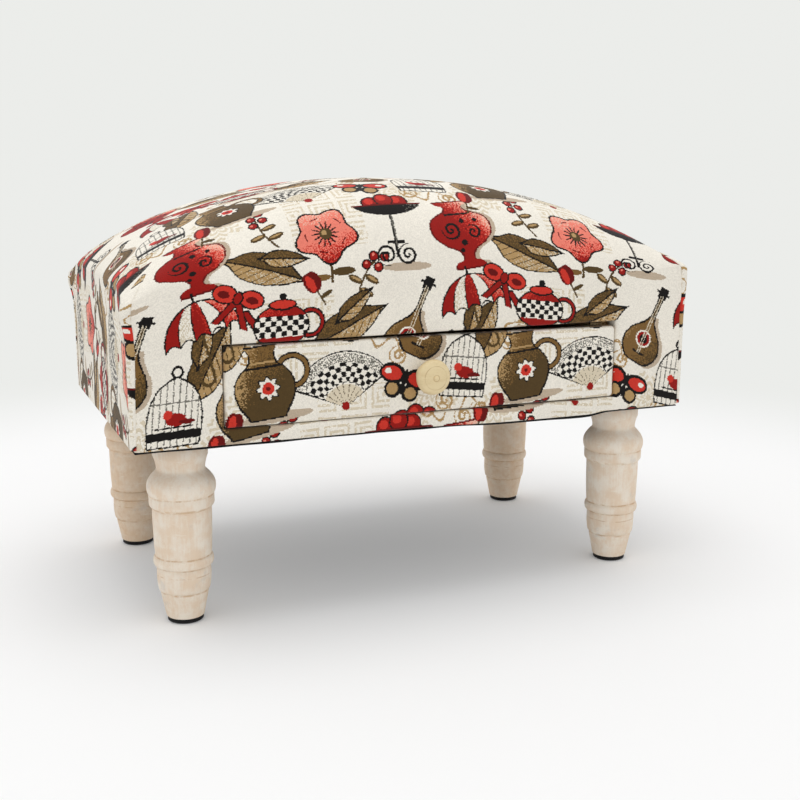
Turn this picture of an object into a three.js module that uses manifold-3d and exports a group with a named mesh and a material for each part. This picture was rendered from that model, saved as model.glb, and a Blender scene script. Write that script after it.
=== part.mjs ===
// A small upholstered footstool with one drawer, in millimetres, Z up, front towards -Y.
// A boarded box stands on four turned legs. One cloth wraps its four sides and the domed
// foam on top, and is turned in round the drawer opening. The drawer slides out to -Y.
import * as THREE from 'three';
import { mergeVertices } from 'three/addons/utils/BufferGeometryUtils.js';
import Module from 'manifold-3d';

const wasm = await Module();
wasm.setup();

// Overall sizes
const bodyWidth = 400; // over the cloth, left to right
const bodyDepth = 238; // over the cloth, front to back
const crownHeight = 62.5; // rise of the padded top over its shoulder
const legLength = 118.2;
const cornerRadius = 4.5; // upright corners of the cloth
const stileFaceWidth = 58.4; // cloth-covered face beside the drawer front
const drawerFrontHeight = 51.6;

// Clearances
const seatGap = 0.3; // between two pieces that touch
const drawerGapBelow = 0.5;
const drawerGapAbove = 2;
const drawerGapSide = 0.8;
const drawerPlay = 0.8; // beside and behind the drawer box
const boltPlay = 0.3; // round a bolt, screw or pin in its hole
const overrun = 5; // how far a cutter passes the face that it cuts

// Cloth, lining and foam
const clothThickness = 1.2;
const liningThickness = 0.6;
const hemWidth = 15; // cloth folded under the box
const liningInset = 2; // from the cloth's outline
const frontReturnWidth = 9; // cloth folded behind the drawer front
const foamEdge = 9.7; // upright edge of the foam under the shoulder
const crownRiseShares = { across: 2.07, deep: 4.38 }; // how square the dome is in plan
const crownFallShares = { across: 0.744, deep: 0.561 }; // how fast it falls at its edges

// Boards
const baseThickness = 7;
const panelThickness = 12;
const railHeight = 14.5; // above the drawer opening
const deckThickness = 9;
const baySideThickness = 9;
const turnInSetback = 1.5; // cloth turned into the opening stops short of the boards' back

// Drawer box
const frontBoardThickness = 6;
const boxBoardThickness = 6;
const boxHeight = 41.5;
const boxInset = 3; // box side inside the drawer front's edge
const runnerHeight = 3;
const runnerWidth = 10;
const kickerHeight = 7.7;
const kickerGap = 1; // above the drawer side
const bottomThickness = 3;
const grooveDepth = 3;
const grooveLift = 3; // groove above the side's lower edge
const travelShare = 0.625; // of the drawer's depth
const stopClearance = 0.5; // left at full travel
const battenDepth = 12;
const tongueWidth = 80; // catch on the drawer back
const tongueHeight = 14;
const tongueFillet = 6;

// Hardware
const boltRadius = 4;
const boltBoreDepth = 40; // into the leg
const boltOverNut = 1.5;
const nutBarrelRadius = 5.4;
const nutFlangeRadius = 10;
const nutFlangeThickness = 1.5;
const nutBarrelSetback = 0.5; // barrel ends inside the base board
const glideRadius = 11.8;
const glideHeight = 3;
const glideFillet = 0.8;
const glidePinRadius = 1.6;
const glidePinLength = 12;
const knobReach = 18;
const knobRadius = 12;
const knobOffset = -5; // the knob sits a little left of the drawer's middle
const knobBoreDepth = 11;
const knobScrewRadius = 2;
const knobScrewHead = { radius: 4, height: 2.2 };

// Legs, in plan
const legBayShare = 0.412; // of the way from the bay side out to the end panel
const legInsetDepth = 31.9; // leg axis from the front or back cloth

// The leg's radii and the heights of its mouldings, as shares of its length
const footRadius = 12.6;
const footChamfer = 0.8;
const footTopRadius = 15.8;
const footShares = { groove: 0.146, step: 0.164, mid: 0.21 };
const ankleRadius = 16.9;
const ankleSwell = 1.2;
const ringFootRadius = 17.6;
const ringRadius = 19.2;
const ringSwell = 1.3;
const ringShares = { low: 0.296, high: 0.356 };
const barrelFootRadius = 18.4;
const barrelMidRadius = 19.4;
const barrelTopRadius = 19.3;
const barrelShares = { mid: 0.5, top: 0.625 };
const bandRadius = 21.2;
const bandShares = { low: 0.643, high: 0.7 };
const collarFootRadius = 21.4;
const collarRadius = 22.4;
const collarShares = { full: 0.72, crest: 0.75, bend: 0.79, neck: 0.845 };
const neckRadius = 15.9;
const capRadius = 17.8;
const capShares = { cove: 0.87, foot: 0.92 };
const quirkDepth = 0.6; // fine groove between two mouldings
const quirkHeight = 1.4;

// The knob's radii and lifts, as shares of its radius and reach
const knobShares = { foot: 0.62, neck: 0.42, under: 0.8, bulge: 1.16, brow: 0.86, face: 0.5, pip: 0.14 };
const knobLiftShares = { neck: 0.3, under: 0.42, bulge: 0.6, brow: 0.84, face: 0.93, pipFoot: 0.93 };
const screwHeadShare = 0.7; // width of the domed top of the head

// Facets
const legSides = 28; // legs, glides and the knob
const smallSides = 16; // nuts, bolts, screws and holes
const curveSteps = 3; // per curve of a turned profile or a board's corner
const domeSteps = { across: 26, deep: 16 };

// Levels, from the floor up
const legBottom = glideHeight + seatGap;
const legTop = legBottom + legLength;
const liningBottom = legTop + seatGap;
const hemBottom = liningBottom + liningThickness + seatGap;
const hemTop = hemBottom + clothThickness;
const baseBottom = hemTop + seatGap;
const baseTop = baseBottom + baseThickness;
const sillTop = baseTop + seatGap + clothThickness; // cloth on the base board's front edge
const frontBottom = sillTop + drawerGapBelow;
const frontTop = frontBottom + drawerFrontHeight;
const openingTop = frontTop + drawerGapAbove;
const railBottom = openingTop + clothThickness + seatGap;
const panelBottom = baseTop + seatGap;
const panelTop = railBottom + railHeight;
const deckBottom = panelTop + seatGap;
const deckTop = deckBottom + deckThickness;
const foamBottom = deckTop + seatGap;
const shoulder = foamBottom + foamEdge;
const runnerTop = panelBottom + runnerHeight;
const boxBottom = runnerTop + seatGap;
const boxTop = boxBottom + boxHeight;
const grooveBottom = boxBottom + grooveLift;
const grooveTop = grooveBottom + bottomThickness + 2 * seatGap;
const kickerBottom = boxTop + kickerGap;
const kickerTop = kickerBottom + kickerHeight;
const knobLevel = (frontBottom + frontTop) / 2;

// Half widths, from the middle out
const coverHalfWidth = bodyWidth / 2;
const innerHalfWidth = coverHalfWidth - clothThickness;
const innerCornerRadius = cornerRadius - clothThickness;
const boardHalfWidth = innerHalfWidth - seatGap;
const boardCornerRadius = innerCornerRadius - seatGap;
const endInner = boardHalfWidth - panelThickness;
const betweenEnds = endInner - seatGap;
const frontHalfWidth = coverHalfWidth - stileFaceWidth;
const openingHalfWidth = frontHalfWidth + drawerGapSide;
const stileInner = openingHalfWidth + clothThickness + seatGap;
const boxHalfWidth = frontHalfWidth - boxInset;
const bayHalfWidth = boxHalfWidth + drawerPlay;
const betweenBaySides = bayHalfWidth - seatGap;
const baySideOuter = bayHalfWidth + baySideThickness;
const boxInnerHalfWidth = boxHalfWidth - boxBoardThickness;
const legX = baySideOuter + legBayShare * (endInner - baySideOuter);

// Half depths and the drawer's stations, from the front to the back
const coverHalfDepth = bodyDepth / 2;
const innerHalfDepth = coverHalfDepth - clothThickness;
const boardHalfDepth = innerHalfDepth - seatGap;
const boardBack = boardHalfDepth - panelThickness;
const betweenPanels = boardBack - seatGap;
const turnInEnd = boardBack + turnInSetback;
const frontBoardFace = -coverHalfDepth + clothThickness + seatGap;
const frontBoardRear = frontBoardFace + frontBoardThickness;
const frontClothRear = frontBoardRear + seatGap + clothThickness;
const boxFace = frontClothRear + seatGap;
const boxFrontRear = boxFace + boxBoardThickness;
const boxRear = boardBack - drawerPlay;
const boxBackFace = boxRear - boxBoardThickness;
const drawerTravel = travelShare * (boxRear + coverHalfDepth);
const battenRear = boxBackFace - drawerTravel - stopClearance;
const legY = coverHalfDepth - legInsetDepth;

// Finishes
const finish = (color, roughness, metalness = 0) =>
  () => new THREE.MeshStandardMaterial({ color, roughness, metalness });
const tapestry = finish(0xe6ddce, 0.9);
const blackLining = finish(0x1b1b1c, 0.95);
const foamWhite = finish(0xf0ecd8, 0.95);
const board = finish(0xb8946a, 0.8);
const drawerWood = finish(0xd9bf95, 0.7);
const limedWood = finish(0xd8c6b2, 0.75);
const knobWood = finish(0xdcc699, 0.55);
const zincSteel = finish(0xb5b8bb, 0.35, 0.9);
const blackPlastic = finish(0x161617, 0.6);

// Puts a geometry in the model under its name.
function piece(parent, name, geometry, material, place = [0, 0, 0]) {
  const mesh = new THREE.Mesh(geometry, material());
  mesh.name = name;
  mesh.position.set(...place);
  parent.add(mesh);
  return mesh;
}

// A square-edged board between two corners.
function boardBetween(low, high) {
  const [width, depth, height] = high.map((value, axis) => value - low[axis]);
  const geometry = new THREE.BoxGeometry(width, depth, height);
  const middle = high.map((value, axis) => (value + low[axis]) / 2);
  return geometry.translate(...middle);
}

// A piece turned about the Z axis. The profile runs up the outside as [radius, height] pairs.
function turned(profile, sides) {
  const points = profile.map(([radius, height]) => new THREE.Vector2(radius, height));
  return new THREE.LatheGeometry(points, sides).rotateX(Math.PI / 2);
}

// The manifold-3d solid of a closed geometry, for joining and cutting.
function solidOf(geometry) {
  const bare = geometry.clone();
  bare.deleteAttribute('normal');
  bare.deleteAttribute('uv');
  const merged = mergeVertices(bare);
  return new wasm.Manifold(
    new wasm.Mesh({
      numProp: 3,
      vertProperties: new Float32Array(merged.attributes.position.array),
      triVerts: new Uint32Array(merged.index.array),
    }),
  );
}

// The geometry of a manifold-3d solid.
function geometryOf(solid) {
  const mesh = solid.getMesh();
  const geometry = new THREE.BufferGeometry();
  geometry.setAttribute('position', new THREE.BufferAttribute(mesh.vertProperties, 3));
  geometry.setIndex(new THREE.BufferAttribute(mesh.triVerts, 1));
  geometry.computeVertexNormals();
  return geometry;
}

// A level board with round corners and round holes, and its middle over the origin.
function levelBoard(halfWidth, halfDepth, bottom, thickness, radius, holes = [], holeRadius = 0) {
  const outline = new THREE.Shape();
  const [x, y] = [halfWidth - radius, halfDepth - radius];
  outline.absarc(x, y, radius, 0, Math.PI / 2);
  outline.absarc(-x, y, radius, Math.PI / 2, Math.PI);
  outline.absarc(-x, -y, radius, Math.PI, 1.5 * Math.PI);
  outline.absarc(x, -y, radius, 1.5 * Math.PI, 2 * Math.PI);
  for (const hole of holes) {
    outline.holes.push(new THREE.Path().absarc(...hole, holeRadius, 0, 2 * Math.PI, true));
  }
  const settings = { depth: thickness, bevelEnabled: false, curveSegments: smallSides / 2 };
  return new THREE.ExtrudeGeometry(outline, settings).translate(0, 0, bottom);
}

// A rod along Y that drills a hole between two stations.
function drill(radius, from, to, x, z) {
  return new THREE.CylinderGeometry(radius, radius, to - from, smallSides)
    .translate(x, (from + to) / 2, z);
}

// Height of the dome over its shoulder, as a share of the crown, at shares of its half sizes.
function domeShare(across, deep) {
  const ridge = 1 - Math.abs(across) ** crownRiseShares.across;
  const fall = 1 - Math.abs(deep) ** crownRiseShares.deep;
  return Math.max(ridge, 0) ** crownFallShares.across * Math.max(fall, 0) ** crownFallShares.deep;
}

// Draws a point in the corner of a rectangle in, so that the corner is round.
function inRoundCorner(x, y, halfWidth, halfDepth, radius) {
  const overX = Math.abs(x) - halfWidth + radius;
  const overY = Math.abs(y) - halfDepth + radius;
  if (overX <= 0 || overY <= 0) return [x, y];
  const share = Math.max(overX, overY) / Math.hypot(overX, overY);
  return [
    Math.sign(x) * (halfWidth - radius + overX * share),
    Math.sign(y) * (halfDepth - radius + overY * share),
  ];
}

// A block with upright sides, round upright corners and the domed top. Its grid closes up
// towards the edges, where the dome falls steeply, and its flat underside is a fan from the
// middle.
function domedBlock(halfWidth, halfDepth, bottom, crown, radius) {
  const { across, deep } = domeSteps;
  const positions = [];
  const faces = [];
  const spread = (step, steps) => Math.sin((step / steps - 0.5) * Math.PI);
  for (let row = 0; row <= deep; row++) {
    for (let column = 0; column <= across; column++) {
      const u = spread(column, across);
      const v = spread(row, deep);
      const plan = inRoundCorner(u * halfWidth, v * halfDepth, halfWidth, halfDepth, radius);
      positions.push(...plan, shoulder + crown * domeShare(u, v));
    }
  }
  const top = (column, row) => row * (across + 1) + column;
  for (let row = 0; row < deep; row++) {
    for (let column = 0; column < across; column++) {
      const [a, b] = [top(column, row), top(column + 1, row)];
      const [c, d] = [top(column + 1, row + 1), top(column, row + 1)];
      faces.push(a, b, c, a, c, d);
    }
  }
  const rim = [];
  for (let column = 0; column < across; column++) rim.push(top(column, 0));
  for (let row = 0; row < deep; row++) rim.push(top(across, row));
  for (let column = across; column > 0; column--) rim.push(top(column, deep));
  for (let row = deep; row > 0; row--) rim.push(top(0, row));
  const foot = positions.length / 3;
  for (const vertex of rim) {
    positions.push(positions[3 * vertex], positions[3 * vertex + 1], bottom);
  }
  const middle = positions.length / 3;
  positions.push(0, 0, bottom);
  rim.forEach((vertex, index) => {
    const next = (index + 1) % rim.length;
    faces.push(vertex, foot + index, foot + next, vertex, foot + next, rim[next]);
    faces.push(middle, foot + next, foot + index);
  });
  const geometry = new THREE.BufferGeometry();
  geometry.setAttribute('position', new THREE.Float32BufferAttribute(positions, 3));
  geometry.setIndex(faces);
  return geometry;
}

// One cloth over the foam and down the four sides: hollow inside, hemmed under the box, and
// turned in round the drawer opening.
function seatCover() {
  const outer = solidOf(
    domedBlock(coverHalfWidth, coverHalfDepth, hemBottom, crownHeight, cornerRadius),
  );
  const innerCrown = crownHeight - clothThickness;
  const hollow = solidOf(
    domedBlock(innerHalfWidth, innerHalfDepth, hemTop, innerCrown, innerCornerRadius),
  );
  const underside = solidOf(boardBetween(
    [-innerHalfWidth + hemWidth, -innerHalfDepth + hemWidth, hemBottom - overrun],
    [innerHalfWidth - hemWidth, innerHalfDepth - hemWidth, hemTop + overrun],
  ));
  const sleeve = solidOf(boardBetween(
    [-openingHalfWidth - clothThickness, -coverHalfDepth + clothThickness / 2, sillTop - clothThickness],
    [openingHalfWidth + clothThickness, -turnInEnd, openingTop + clothThickness],
  ));
  const opening = solidOf(boardBetween(
    [-openingHalfWidth, -coverHalfDepth - overrun, sillTop],
    [openingHalfWidth, -turnInEnd + overrun, openingTop],
  ));
  return geometryOf(outer.subtract(hollow).subtract(underside).add(sleeve).subtract(opening));
}

// Cloth drawn over the drawer's front board and folded round to a border behind it.
function drawerFrontCloth() {
  const outer = solidOf(boardBetween(
    [-frontHalfWidth, -coverHalfDepth, frontBottom],
    [frontHalfWidth, frontClothRear, frontTop],
  ));
  const pocket = solidOf(boardBetween(
    [-frontHalfWidth + clothThickness, -coverHalfDepth + clothThickness, frontBottom + clothThickness],
    [frontHalfWidth - clothThickness, frontBoardRear + seatGap, frontTop - clothThickness],
  ));
  const border = clothThickness + frontReturnWidth;
  const back = solidOf(boardBetween(
    [-frontHalfWidth + border, frontBoardRear, frontBottom + border],
    [frontHalfWidth - border, frontClothRear + overrun, frontTop - border],
  ));
  const hole = solidOf(knobHole(-coverHalfDepth - overrun, frontBoardRear));
  return geometryOf(outer.subtract(pocket).subtract(back).subtract(hole));
}

// The hole that the knob's screw passes through, between two stations.
function knobHole(from, to) {
  return drill(knobScrewRadius + boltPlay, from, to, knobOffset, knobLevel);
}

// A turned leg, from its foot to the cap that the box stands on, with a bore at each end.
function legGeometry() {
  const outline = new THREE.Path();
  const at = (share) => share * legLength;
  const below = (share) => at(share) - quirkHeight / 2;
  const above = (share) => at(share) + quirkHeight / 2;
  outline.moveTo(footRadius - footChamfer, 0);
  outline.lineTo(footRadius, footChamfer);
  outline.lineTo(footTopRadius, below(footShares.groove));
  outline.lineTo(footTopRadius - quirkDepth, at(footShares.groove));
  outline.lineTo(ankleRadius, at(footShares.step));
  outline.quadraticCurveTo(
    ankleRadius + ankleSwell, at(footShares.mid),
    ringFootRadius, below(ringShares.low),
  );
  outline.lineTo(ringFootRadius - quirkDepth, at(ringShares.low));
  outline.lineTo(ringRadius, above(ringShares.low));
  outline.quadraticCurveTo(
    ringRadius + ringSwell, at((ringShares.low + ringShares.high) / 2),
    ringRadius, below(ringShares.high),
  );
  outline.lineTo(barrelFootRadius - quirkDepth, at(ringShares.high));
  outline.lineTo(barrelFootRadius, above(ringShares.high));
  outline.quadraticCurveTo(
    barrelMidRadius, at(barrelShares.mid),
    barrelTopRadius, below(barrelShares.top),
  );
  outline.lineTo(barrelTopRadius - quirkDepth, at(barrelShares.top));
  outline.lineTo(bandRadius, at(bandShares.low));
  outline.lineTo(bandRadius, below(bandShares.high));
  outline.lineTo(bandRadius - quirkDepth, at(bandShares.high));
  outline.lineTo(collarFootRadius, above(bandShares.high));
  outline.quadraticCurveTo(collarRadius, at(collarShares.full), collarRadius, at(collarShares.crest));
  outline.quadraticCurveTo(collarRadius, at(collarShares.bend), neckRadius, at(collarShares.neck));
  outline.quadraticCurveTo(neckRadius, at(capShares.cove), capRadius, at(capShares.foot));
  outline.lineTo(capRadius, legLength);
  const pinBore = { radius: glidePinRadius + boltPlay, depth: glidePinLength + seatGap };
  const boltBore = { radius: boltRadius + boltPlay, floor: legLength - boltBoreDepth };
  const profile = [
    [0, pinBore.depth],
    [pinBore.radius, pinBore.depth],
    [pinBore.radius, 0],
    ...outline.getPoints(curveSteps).map(({ x, y }) => [x, y]),
    [boltBore.radius, legLength],
    [boltBore.radius, boltBore.floor],
    [0, boltBore.floor],
  ];
  return turned(profile, legSides);
}

// The black disc under a leg, with the pin that holds it in the foot.
function glideGeometry() {
  const pinTop = legBottom + glidePinLength;
  return turned([
    [0, 0],
    [glideRadius - glideFillet, 0],
    [glideRadius, glideFillet],
    [glideRadius, glideHeight],
    [glidePinRadius, glideHeight],
    [glidePinRadius, pinTop],
    [0, pinTop],
  ], legSides);
}

// The flanged nut in the base board that takes a leg's bolt.
function nutGeometry() {
  const bore = boltRadius + boltPlay;
  const flangeBottom = baseTop + seatGap;
  const barrelBottom = baseBottom + nutBarrelSetback;
  const flangeTop = flangeBottom + nutFlangeThickness;
  return turned([
    [bore, barrelBottom],
    [nutBarrelRadius, barrelBottom],
    [nutBarrelRadius, flangeBottom],
    [nutFlangeRadius, flangeBottom],
    [nutFlangeRadius, flangeTop],
    [bore, flangeTop],
    [bore, barrelBottom],
  ], smallSides);
}

// A leg's bolt, from the floor of its bore to just over the nut.
function boltGeometry() {
  const bottom = legTop - boltBoreDepth + seatGap;
  const top = baseTop + seatGap + nutFlangeThickness + boltOverNut;
  const chamfer = boltRadius - boltPlay - glideFillet;
  return turned([
    [0, bottom],
    [boltRadius, bottom + chamfer],
    [boltRadius, top],
    [0, top],
  ], smallSides);
}

// The turned knob along Z, from its foot on the drawer front to the pip on its face.
function knobGeometry() {
  const outline = new THREE.Path();
  const at = (share) => share * knobReach;
  outline.moveTo(knobRadius * knobShares.foot, 0);
  outline.quadraticCurveTo(
    knobRadius * knobShares.neck, at(knobLiftShares.neck),
    knobRadius * knobShares.under, at(knobLiftShares.under),
  );
  outline.quadraticCurveTo(
    knobRadius * knobShares.bulge, at(knobLiftShares.bulge),
    knobRadius * knobShares.brow, at(knobLiftShares.brow),
  );
  outline.quadraticCurveTo(
    knobRadius * knobShares.face, at(knobLiftShares.face),
    knobRadius * knobShares.pip, at(knobLiftShares.pipFoot),
  );
  outline.quadraticCurveTo(knobRadius * knobShares.pip, knobReach, 0, knobReach);
  const bore = knobScrewRadius + boltPlay;
  return turned([
    [0, knobBoreDepth],
    [bore, knobBoreDepth],
    [bore, 0],
    ...outline.getPoints(curveSteps).map(({ x, y }) => [x, y]),
  ], legSides);
}

// The knob's screw along Z, from its head inside the drawer to its tip in the knob.
function knobScrewGeometry() {
  const headTop = boxFrontRear + seatGap;
  const shaft = headTop + coverHalfDepth + knobBoreDepth;
  return turned([
    [0, -knobScrewHead.height],
    [knobScrewHead.radius * screwHeadShare, -knobScrewHead.height],
    [knobScrewHead.radius, -knobScrewHead.height / 2],
    [knobScrewHead.radius, 0],
    [knobScrewRadius, 0],
    [knobScrewRadius, shaft - knobScrewRadius],
    [0, shaft - seatGap],
  ], smallSides);
}

// A drawer side with the groove that holds the bottom. sign is -1 on the left.
function drawerSide(sign) {
  const [near, far] = [boxInnerHalfWidth * sign, boxHalfWidth * sign].sort((a, b) => a - b);
  const side = solidOf(boardBetween([near, boxFace, boxBottom], [far, boxRear, boxTop]));
  const inner = boxInnerHalfWidth * sign;
  const [from, to] = [inner - overrun * sign, inner + grooveDepth * sign].sort((a, b) => a - b);
  const groove = solidOf(boardBetween(
    [from, boxFrontRear - grooveDepth, grooveBottom],
    [to, boxRear + overrun, grooveTop],
  ));
  return geometryOf(side.subtract(groove));
}

// The box's front, grooved for the bottom and drilled for the knob's screw.
function drawerBoxFront() {
  const half = boxInnerHalfWidth - seatGap;
  const front = solidOf(boardBetween([-half, boxFace, boxBottom], [half, boxFrontRear, boxTop]));
  const groove = solidOf(boardBetween(
    [-half - overrun, boxFrontRear - grooveDepth, grooveBottom],
    [half + overrun, boxFrontRear + overrun, grooveTop],
  ));
  const hole = solidOf(knobHole(boxFace - overrun, boxFrontRear + overrun));
  return geometryOf(front.subtract(groove).subtract(hole));
}

// The drawer's back, which stands on the bottom board and rises to a tongue in the middle
// that catches the stop batten at full travel.
function drawerBack() {
  const half = boxInnerHalfWidth - seatGap;
  const foot = grooveTop;
  const tongueTop = boxTop + tongueHeight;
  const shape = new THREE.Shape();
  shape.moveTo(-half, foot);
  shape.lineTo(half, foot);
  shape.lineTo(half, boxTop);
  shape.lineTo(tongueWidth / 2 + tongueFillet, boxTop);
  shape.quadraticCurveTo(tongueWidth / 2, boxTop, tongueWidth / 2, boxTop + tongueFillet);
  shape.lineTo(tongueWidth / 2, tongueTop - tongueFillet);
  shape.quadraticCurveTo(tongueWidth / 2, tongueTop, tongueWidth / 2 - tongueFillet, tongueTop);
  shape.lineTo(tongueFillet - tongueWidth / 2, tongueTop);
  shape.quadraticCurveTo(-tongueWidth / 2, tongueTop, -tongueWidth / 2, tongueTop - tongueFillet);
  shape.lineTo(-tongueWidth / 2, boxTop + tongueFillet);
  shape.quadraticCurveTo(-tongueWidth / 2, boxTop, -tongueWidth / 2 - tongueFillet, boxTop);
  shape.lineTo(-half, boxTop);
  shape.closePath();
  const settings = { depth: boxBoardThickness, bevelEnabled: false, curveSegments: curveSteps };
  return new THREE.ExtrudeGeometry(shape, settings).rotateX(Math.PI / 2).translate(0, boxRear, 0);
}

const hands = [['left', -1], ['right', 1]];
const corners = [
  ['front_left', -legX, -legY],
  ['front_right', legX, -legY],
  ['back_left', -legX, legY],
  ['back_right', legX, legY],
];
const legPlaces = corners.map(([, x, y]) => [x, y]);

// The stool's origin is the middle of its footprint on the floor, knob included.
const footstool = new THREE.Group();
footstool.position.y = (seatGap + knobReach) / 2;
const stand = new THREE.Group();
const drawer = new THREE.Group(); // slides by its position along -Y
footstool.add(stand, drawer);

// The boarded box
piece(
  stand, 'base_board',
  levelBoard(
    boardHalfWidth, boardHalfDepth, baseBottom, baseThickness, boardCornerRadius,
    legPlaces, nutBarrelRadius + boltPlay,
  ),
  board,
);
const boxOutline = solidOf(
  levelBoard(boardHalfWidth, boardHalfDepth, baseBottom, deckTop - baseBottom, boardCornerRadius),
);
for (const [hand, sign] of hands) {
  const span = (inner, outer) => [inner * sign, outer * sign].sort((a, b) => a - b);
  const upright = (name, [x0, x1], [y0, y1], [z0, z1], material) =>
    piece(stand, `${name}_${hand}`, boardBetween([x0, y0, z0], [x1, y1, z1]), material);
  const length = [-betweenPanels, betweenPanels];
  const [endNear, endFar] = span(endInner, boardHalfWidth);
  const endPanel = solidOf(boardBetween(
    [endNear, -boardHalfDepth, panelBottom],
    [endFar, boardHalfDepth, panelTop],
  ));
  piece(stand, `end_panel_${hand}`, geometryOf(endPanel.intersect(boxOutline)), board);
  upright('front_stile', span(stileInner, betweenEnds), [-boardHalfDepth, -boardBack],
    [panelBottom, railBottom - seatGap], board);
  upright('bay_side', span(bayHalfWidth, baySideOuter), length,
    [panelBottom, panelTop], board);
  upright('drawer_runner', span(betweenBaySides - runnerWidth, betweenBaySides), length,
    [panelBottom, runnerTop], drawerWood);
  upright('drawer_kicker', span(betweenBaySides - runnerWidth, betweenBaySides), length,
    [kickerBottom, kickerTop], drawerWood);
}
piece(stand, 'front_rail', boardBetween(
  [-betweenEnds, -boardHalfDepth, railBottom],
  [betweenEnds, -boardBack, panelTop],
), board);
piece(stand, 'back_panel', boardBetween(
  [-betweenEnds, boardBack, panelBottom],
  [betweenEnds, boardHalfDepth, panelTop],
), board);
piece(stand, 'stop_batten', boardBetween(
  [-betweenBaySides, battenRear - battenDepth, kickerTop + seatGap],
  [betweenBaySides, battenRear, panelTop],
), board);
piece(
  stand, 'seat_deck',
  levelBoard(boardHalfWidth, boardHalfDepth, deckBottom, deckThickness, boardCornerRadius),
  board,
);

// Upholstery
const foamCrown = crownHeight - clothThickness - seatGap;
piece(
  stand, 'seat_foam',
  domedBlock(boardHalfWidth, boardHalfDepth, foamBottom, foamCrown, boardCornerRadius),
  foamWhite,
);
piece(stand, 'seat_cover', seatCover(), tapestry);
piece(
  stand, 'base_lining',
  levelBoard(
    coverHalfWidth - liningInset, coverHalfDepth - liningInset, liningBottom, liningThickness,
    cornerRadius - liningInset, legPlaces, boltRadius + boltPlay,
  ),
  blackLining,
);

// Legs and what holds them
for (const [corner, x, y] of corners) {
  piece(stand, `leg_${corner}`, legGeometry(), limedWood, [x, y, legBottom]);
  piece(stand, `glide_${corner}`, glideGeometry(), blackPlastic, [x, y, 0]);
  piece(stand, `leg_bolt_${corner}`, boltGeometry(), zincSteel, [x, y, 0]);
  piece(stand, `leg_nut_${corner}`, nutGeometry(), zincSteel, [x, y, 0]);
}

// The drawer
const frontBoardInset = clothThickness + seatGap;
const frontBoard = solidOf(boardBetween(
  [-frontHalfWidth + frontBoardInset, frontBoardFace, frontBottom + frontBoardInset],
  [frontHalfWidth - frontBoardInset, frontBoardRear, frontTop - frontBoardInset],
));
const frontBoardHole = solidOf(knobHole(frontBoardFace - overrun, frontBoardRear + overrun));
piece(drawer, 'drawer_front_board', geometryOf(frontBoard.subtract(frontBoardHole)), board);
piece(drawer, 'drawer_front_cloth', drawerFrontCloth(), tapestry);
piece(drawer, 'drawer_box_front', drawerBoxFront(), drawerWood);
for (const [hand, sign] of hands) {
  piece(drawer, `drawer_side_${hand}`, drawerSide(sign), drawerWood);
}
piece(drawer, 'drawer_back', drawerBack(), drawerWood);
const bottomHalfWidth = boxInnerHalfWidth + grooveDepth - seatGap;
piece(drawer, 'drawer_bottom', boardBetween(
  [-bottomHalfWidth, boxFrontRear - grooveDepth + seatGap, grooveBottom + seatGap],
  [bottomHalfWidth, boxRear, grooveTop - seatGap],
), drawerWood);
const knob = piece(
  drawer, 'drawer_knob', knobGeometry(), knobWood,
  [knobOffset, -coverHalfDepth - seatGap, knobLevel],
);
const knobScrew = piece(
  drawer, 'knob_screw', knobScrewGeometry(), zincSteel,
  [knobOffset, boxFrontRear + seatGap, knobLevel],
);
for (const turnedPiece of [knob, knobScrew]) turnedPiece.rotation.x = Math.PI / 2;

export default footstool;
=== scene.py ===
"""Dresses an upholstered footstool with one drawer.

One printed tapestry cloth is drawn over a domed pad and the box under it, a second piece of it
covers the drawer's front, and turned legs in limed wood stand on black glides. Lengths are in
metres in the stool's own frame: +X to the right, the drawer towards -Y, +Z up, the floor at zero.
Print, weave and grain are drawn in millimetres.
"""

import math

import bpy
import numpy as np
from bpy.props import FloatProperty, FloatVectorProperty, PointerProperty
from mathutils import Matrix, Vector, noise


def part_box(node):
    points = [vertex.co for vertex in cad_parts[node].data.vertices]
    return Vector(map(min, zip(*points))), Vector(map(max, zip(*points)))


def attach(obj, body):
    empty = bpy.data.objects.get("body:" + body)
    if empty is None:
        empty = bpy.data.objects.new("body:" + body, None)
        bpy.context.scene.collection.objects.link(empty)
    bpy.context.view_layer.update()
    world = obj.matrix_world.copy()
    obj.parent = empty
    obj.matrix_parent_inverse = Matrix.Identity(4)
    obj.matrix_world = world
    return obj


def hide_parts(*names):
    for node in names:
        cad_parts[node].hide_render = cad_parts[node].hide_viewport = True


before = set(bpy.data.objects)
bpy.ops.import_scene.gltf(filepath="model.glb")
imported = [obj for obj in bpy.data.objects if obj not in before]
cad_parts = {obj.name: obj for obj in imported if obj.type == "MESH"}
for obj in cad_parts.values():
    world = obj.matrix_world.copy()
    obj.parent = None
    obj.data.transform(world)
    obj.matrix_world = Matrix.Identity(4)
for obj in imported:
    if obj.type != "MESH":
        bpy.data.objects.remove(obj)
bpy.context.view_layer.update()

bl_info = {
    "name": "Upholstered Footstool",
    "version": (1, 0, 0),
    "blender": (4, 5, 0),
    "location": "View3D > Sidebar > Footstool",
    "description": "Printed cloth, limed legs and a studio for a footstool with a drawer",
    "category": "Add Mesh",
}

MM = 0.001
STAND = "stand"
DRAWER = "drawer"
CORNERS = ("front_left", "front_right", "back_left", "back_right")
# Which way the flat cloth runs on from its patch over each side.
WAYS = {"front": (0, -1), "back": (0, 1), "left": (-1, 0), "right": (1, 0)}

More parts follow.
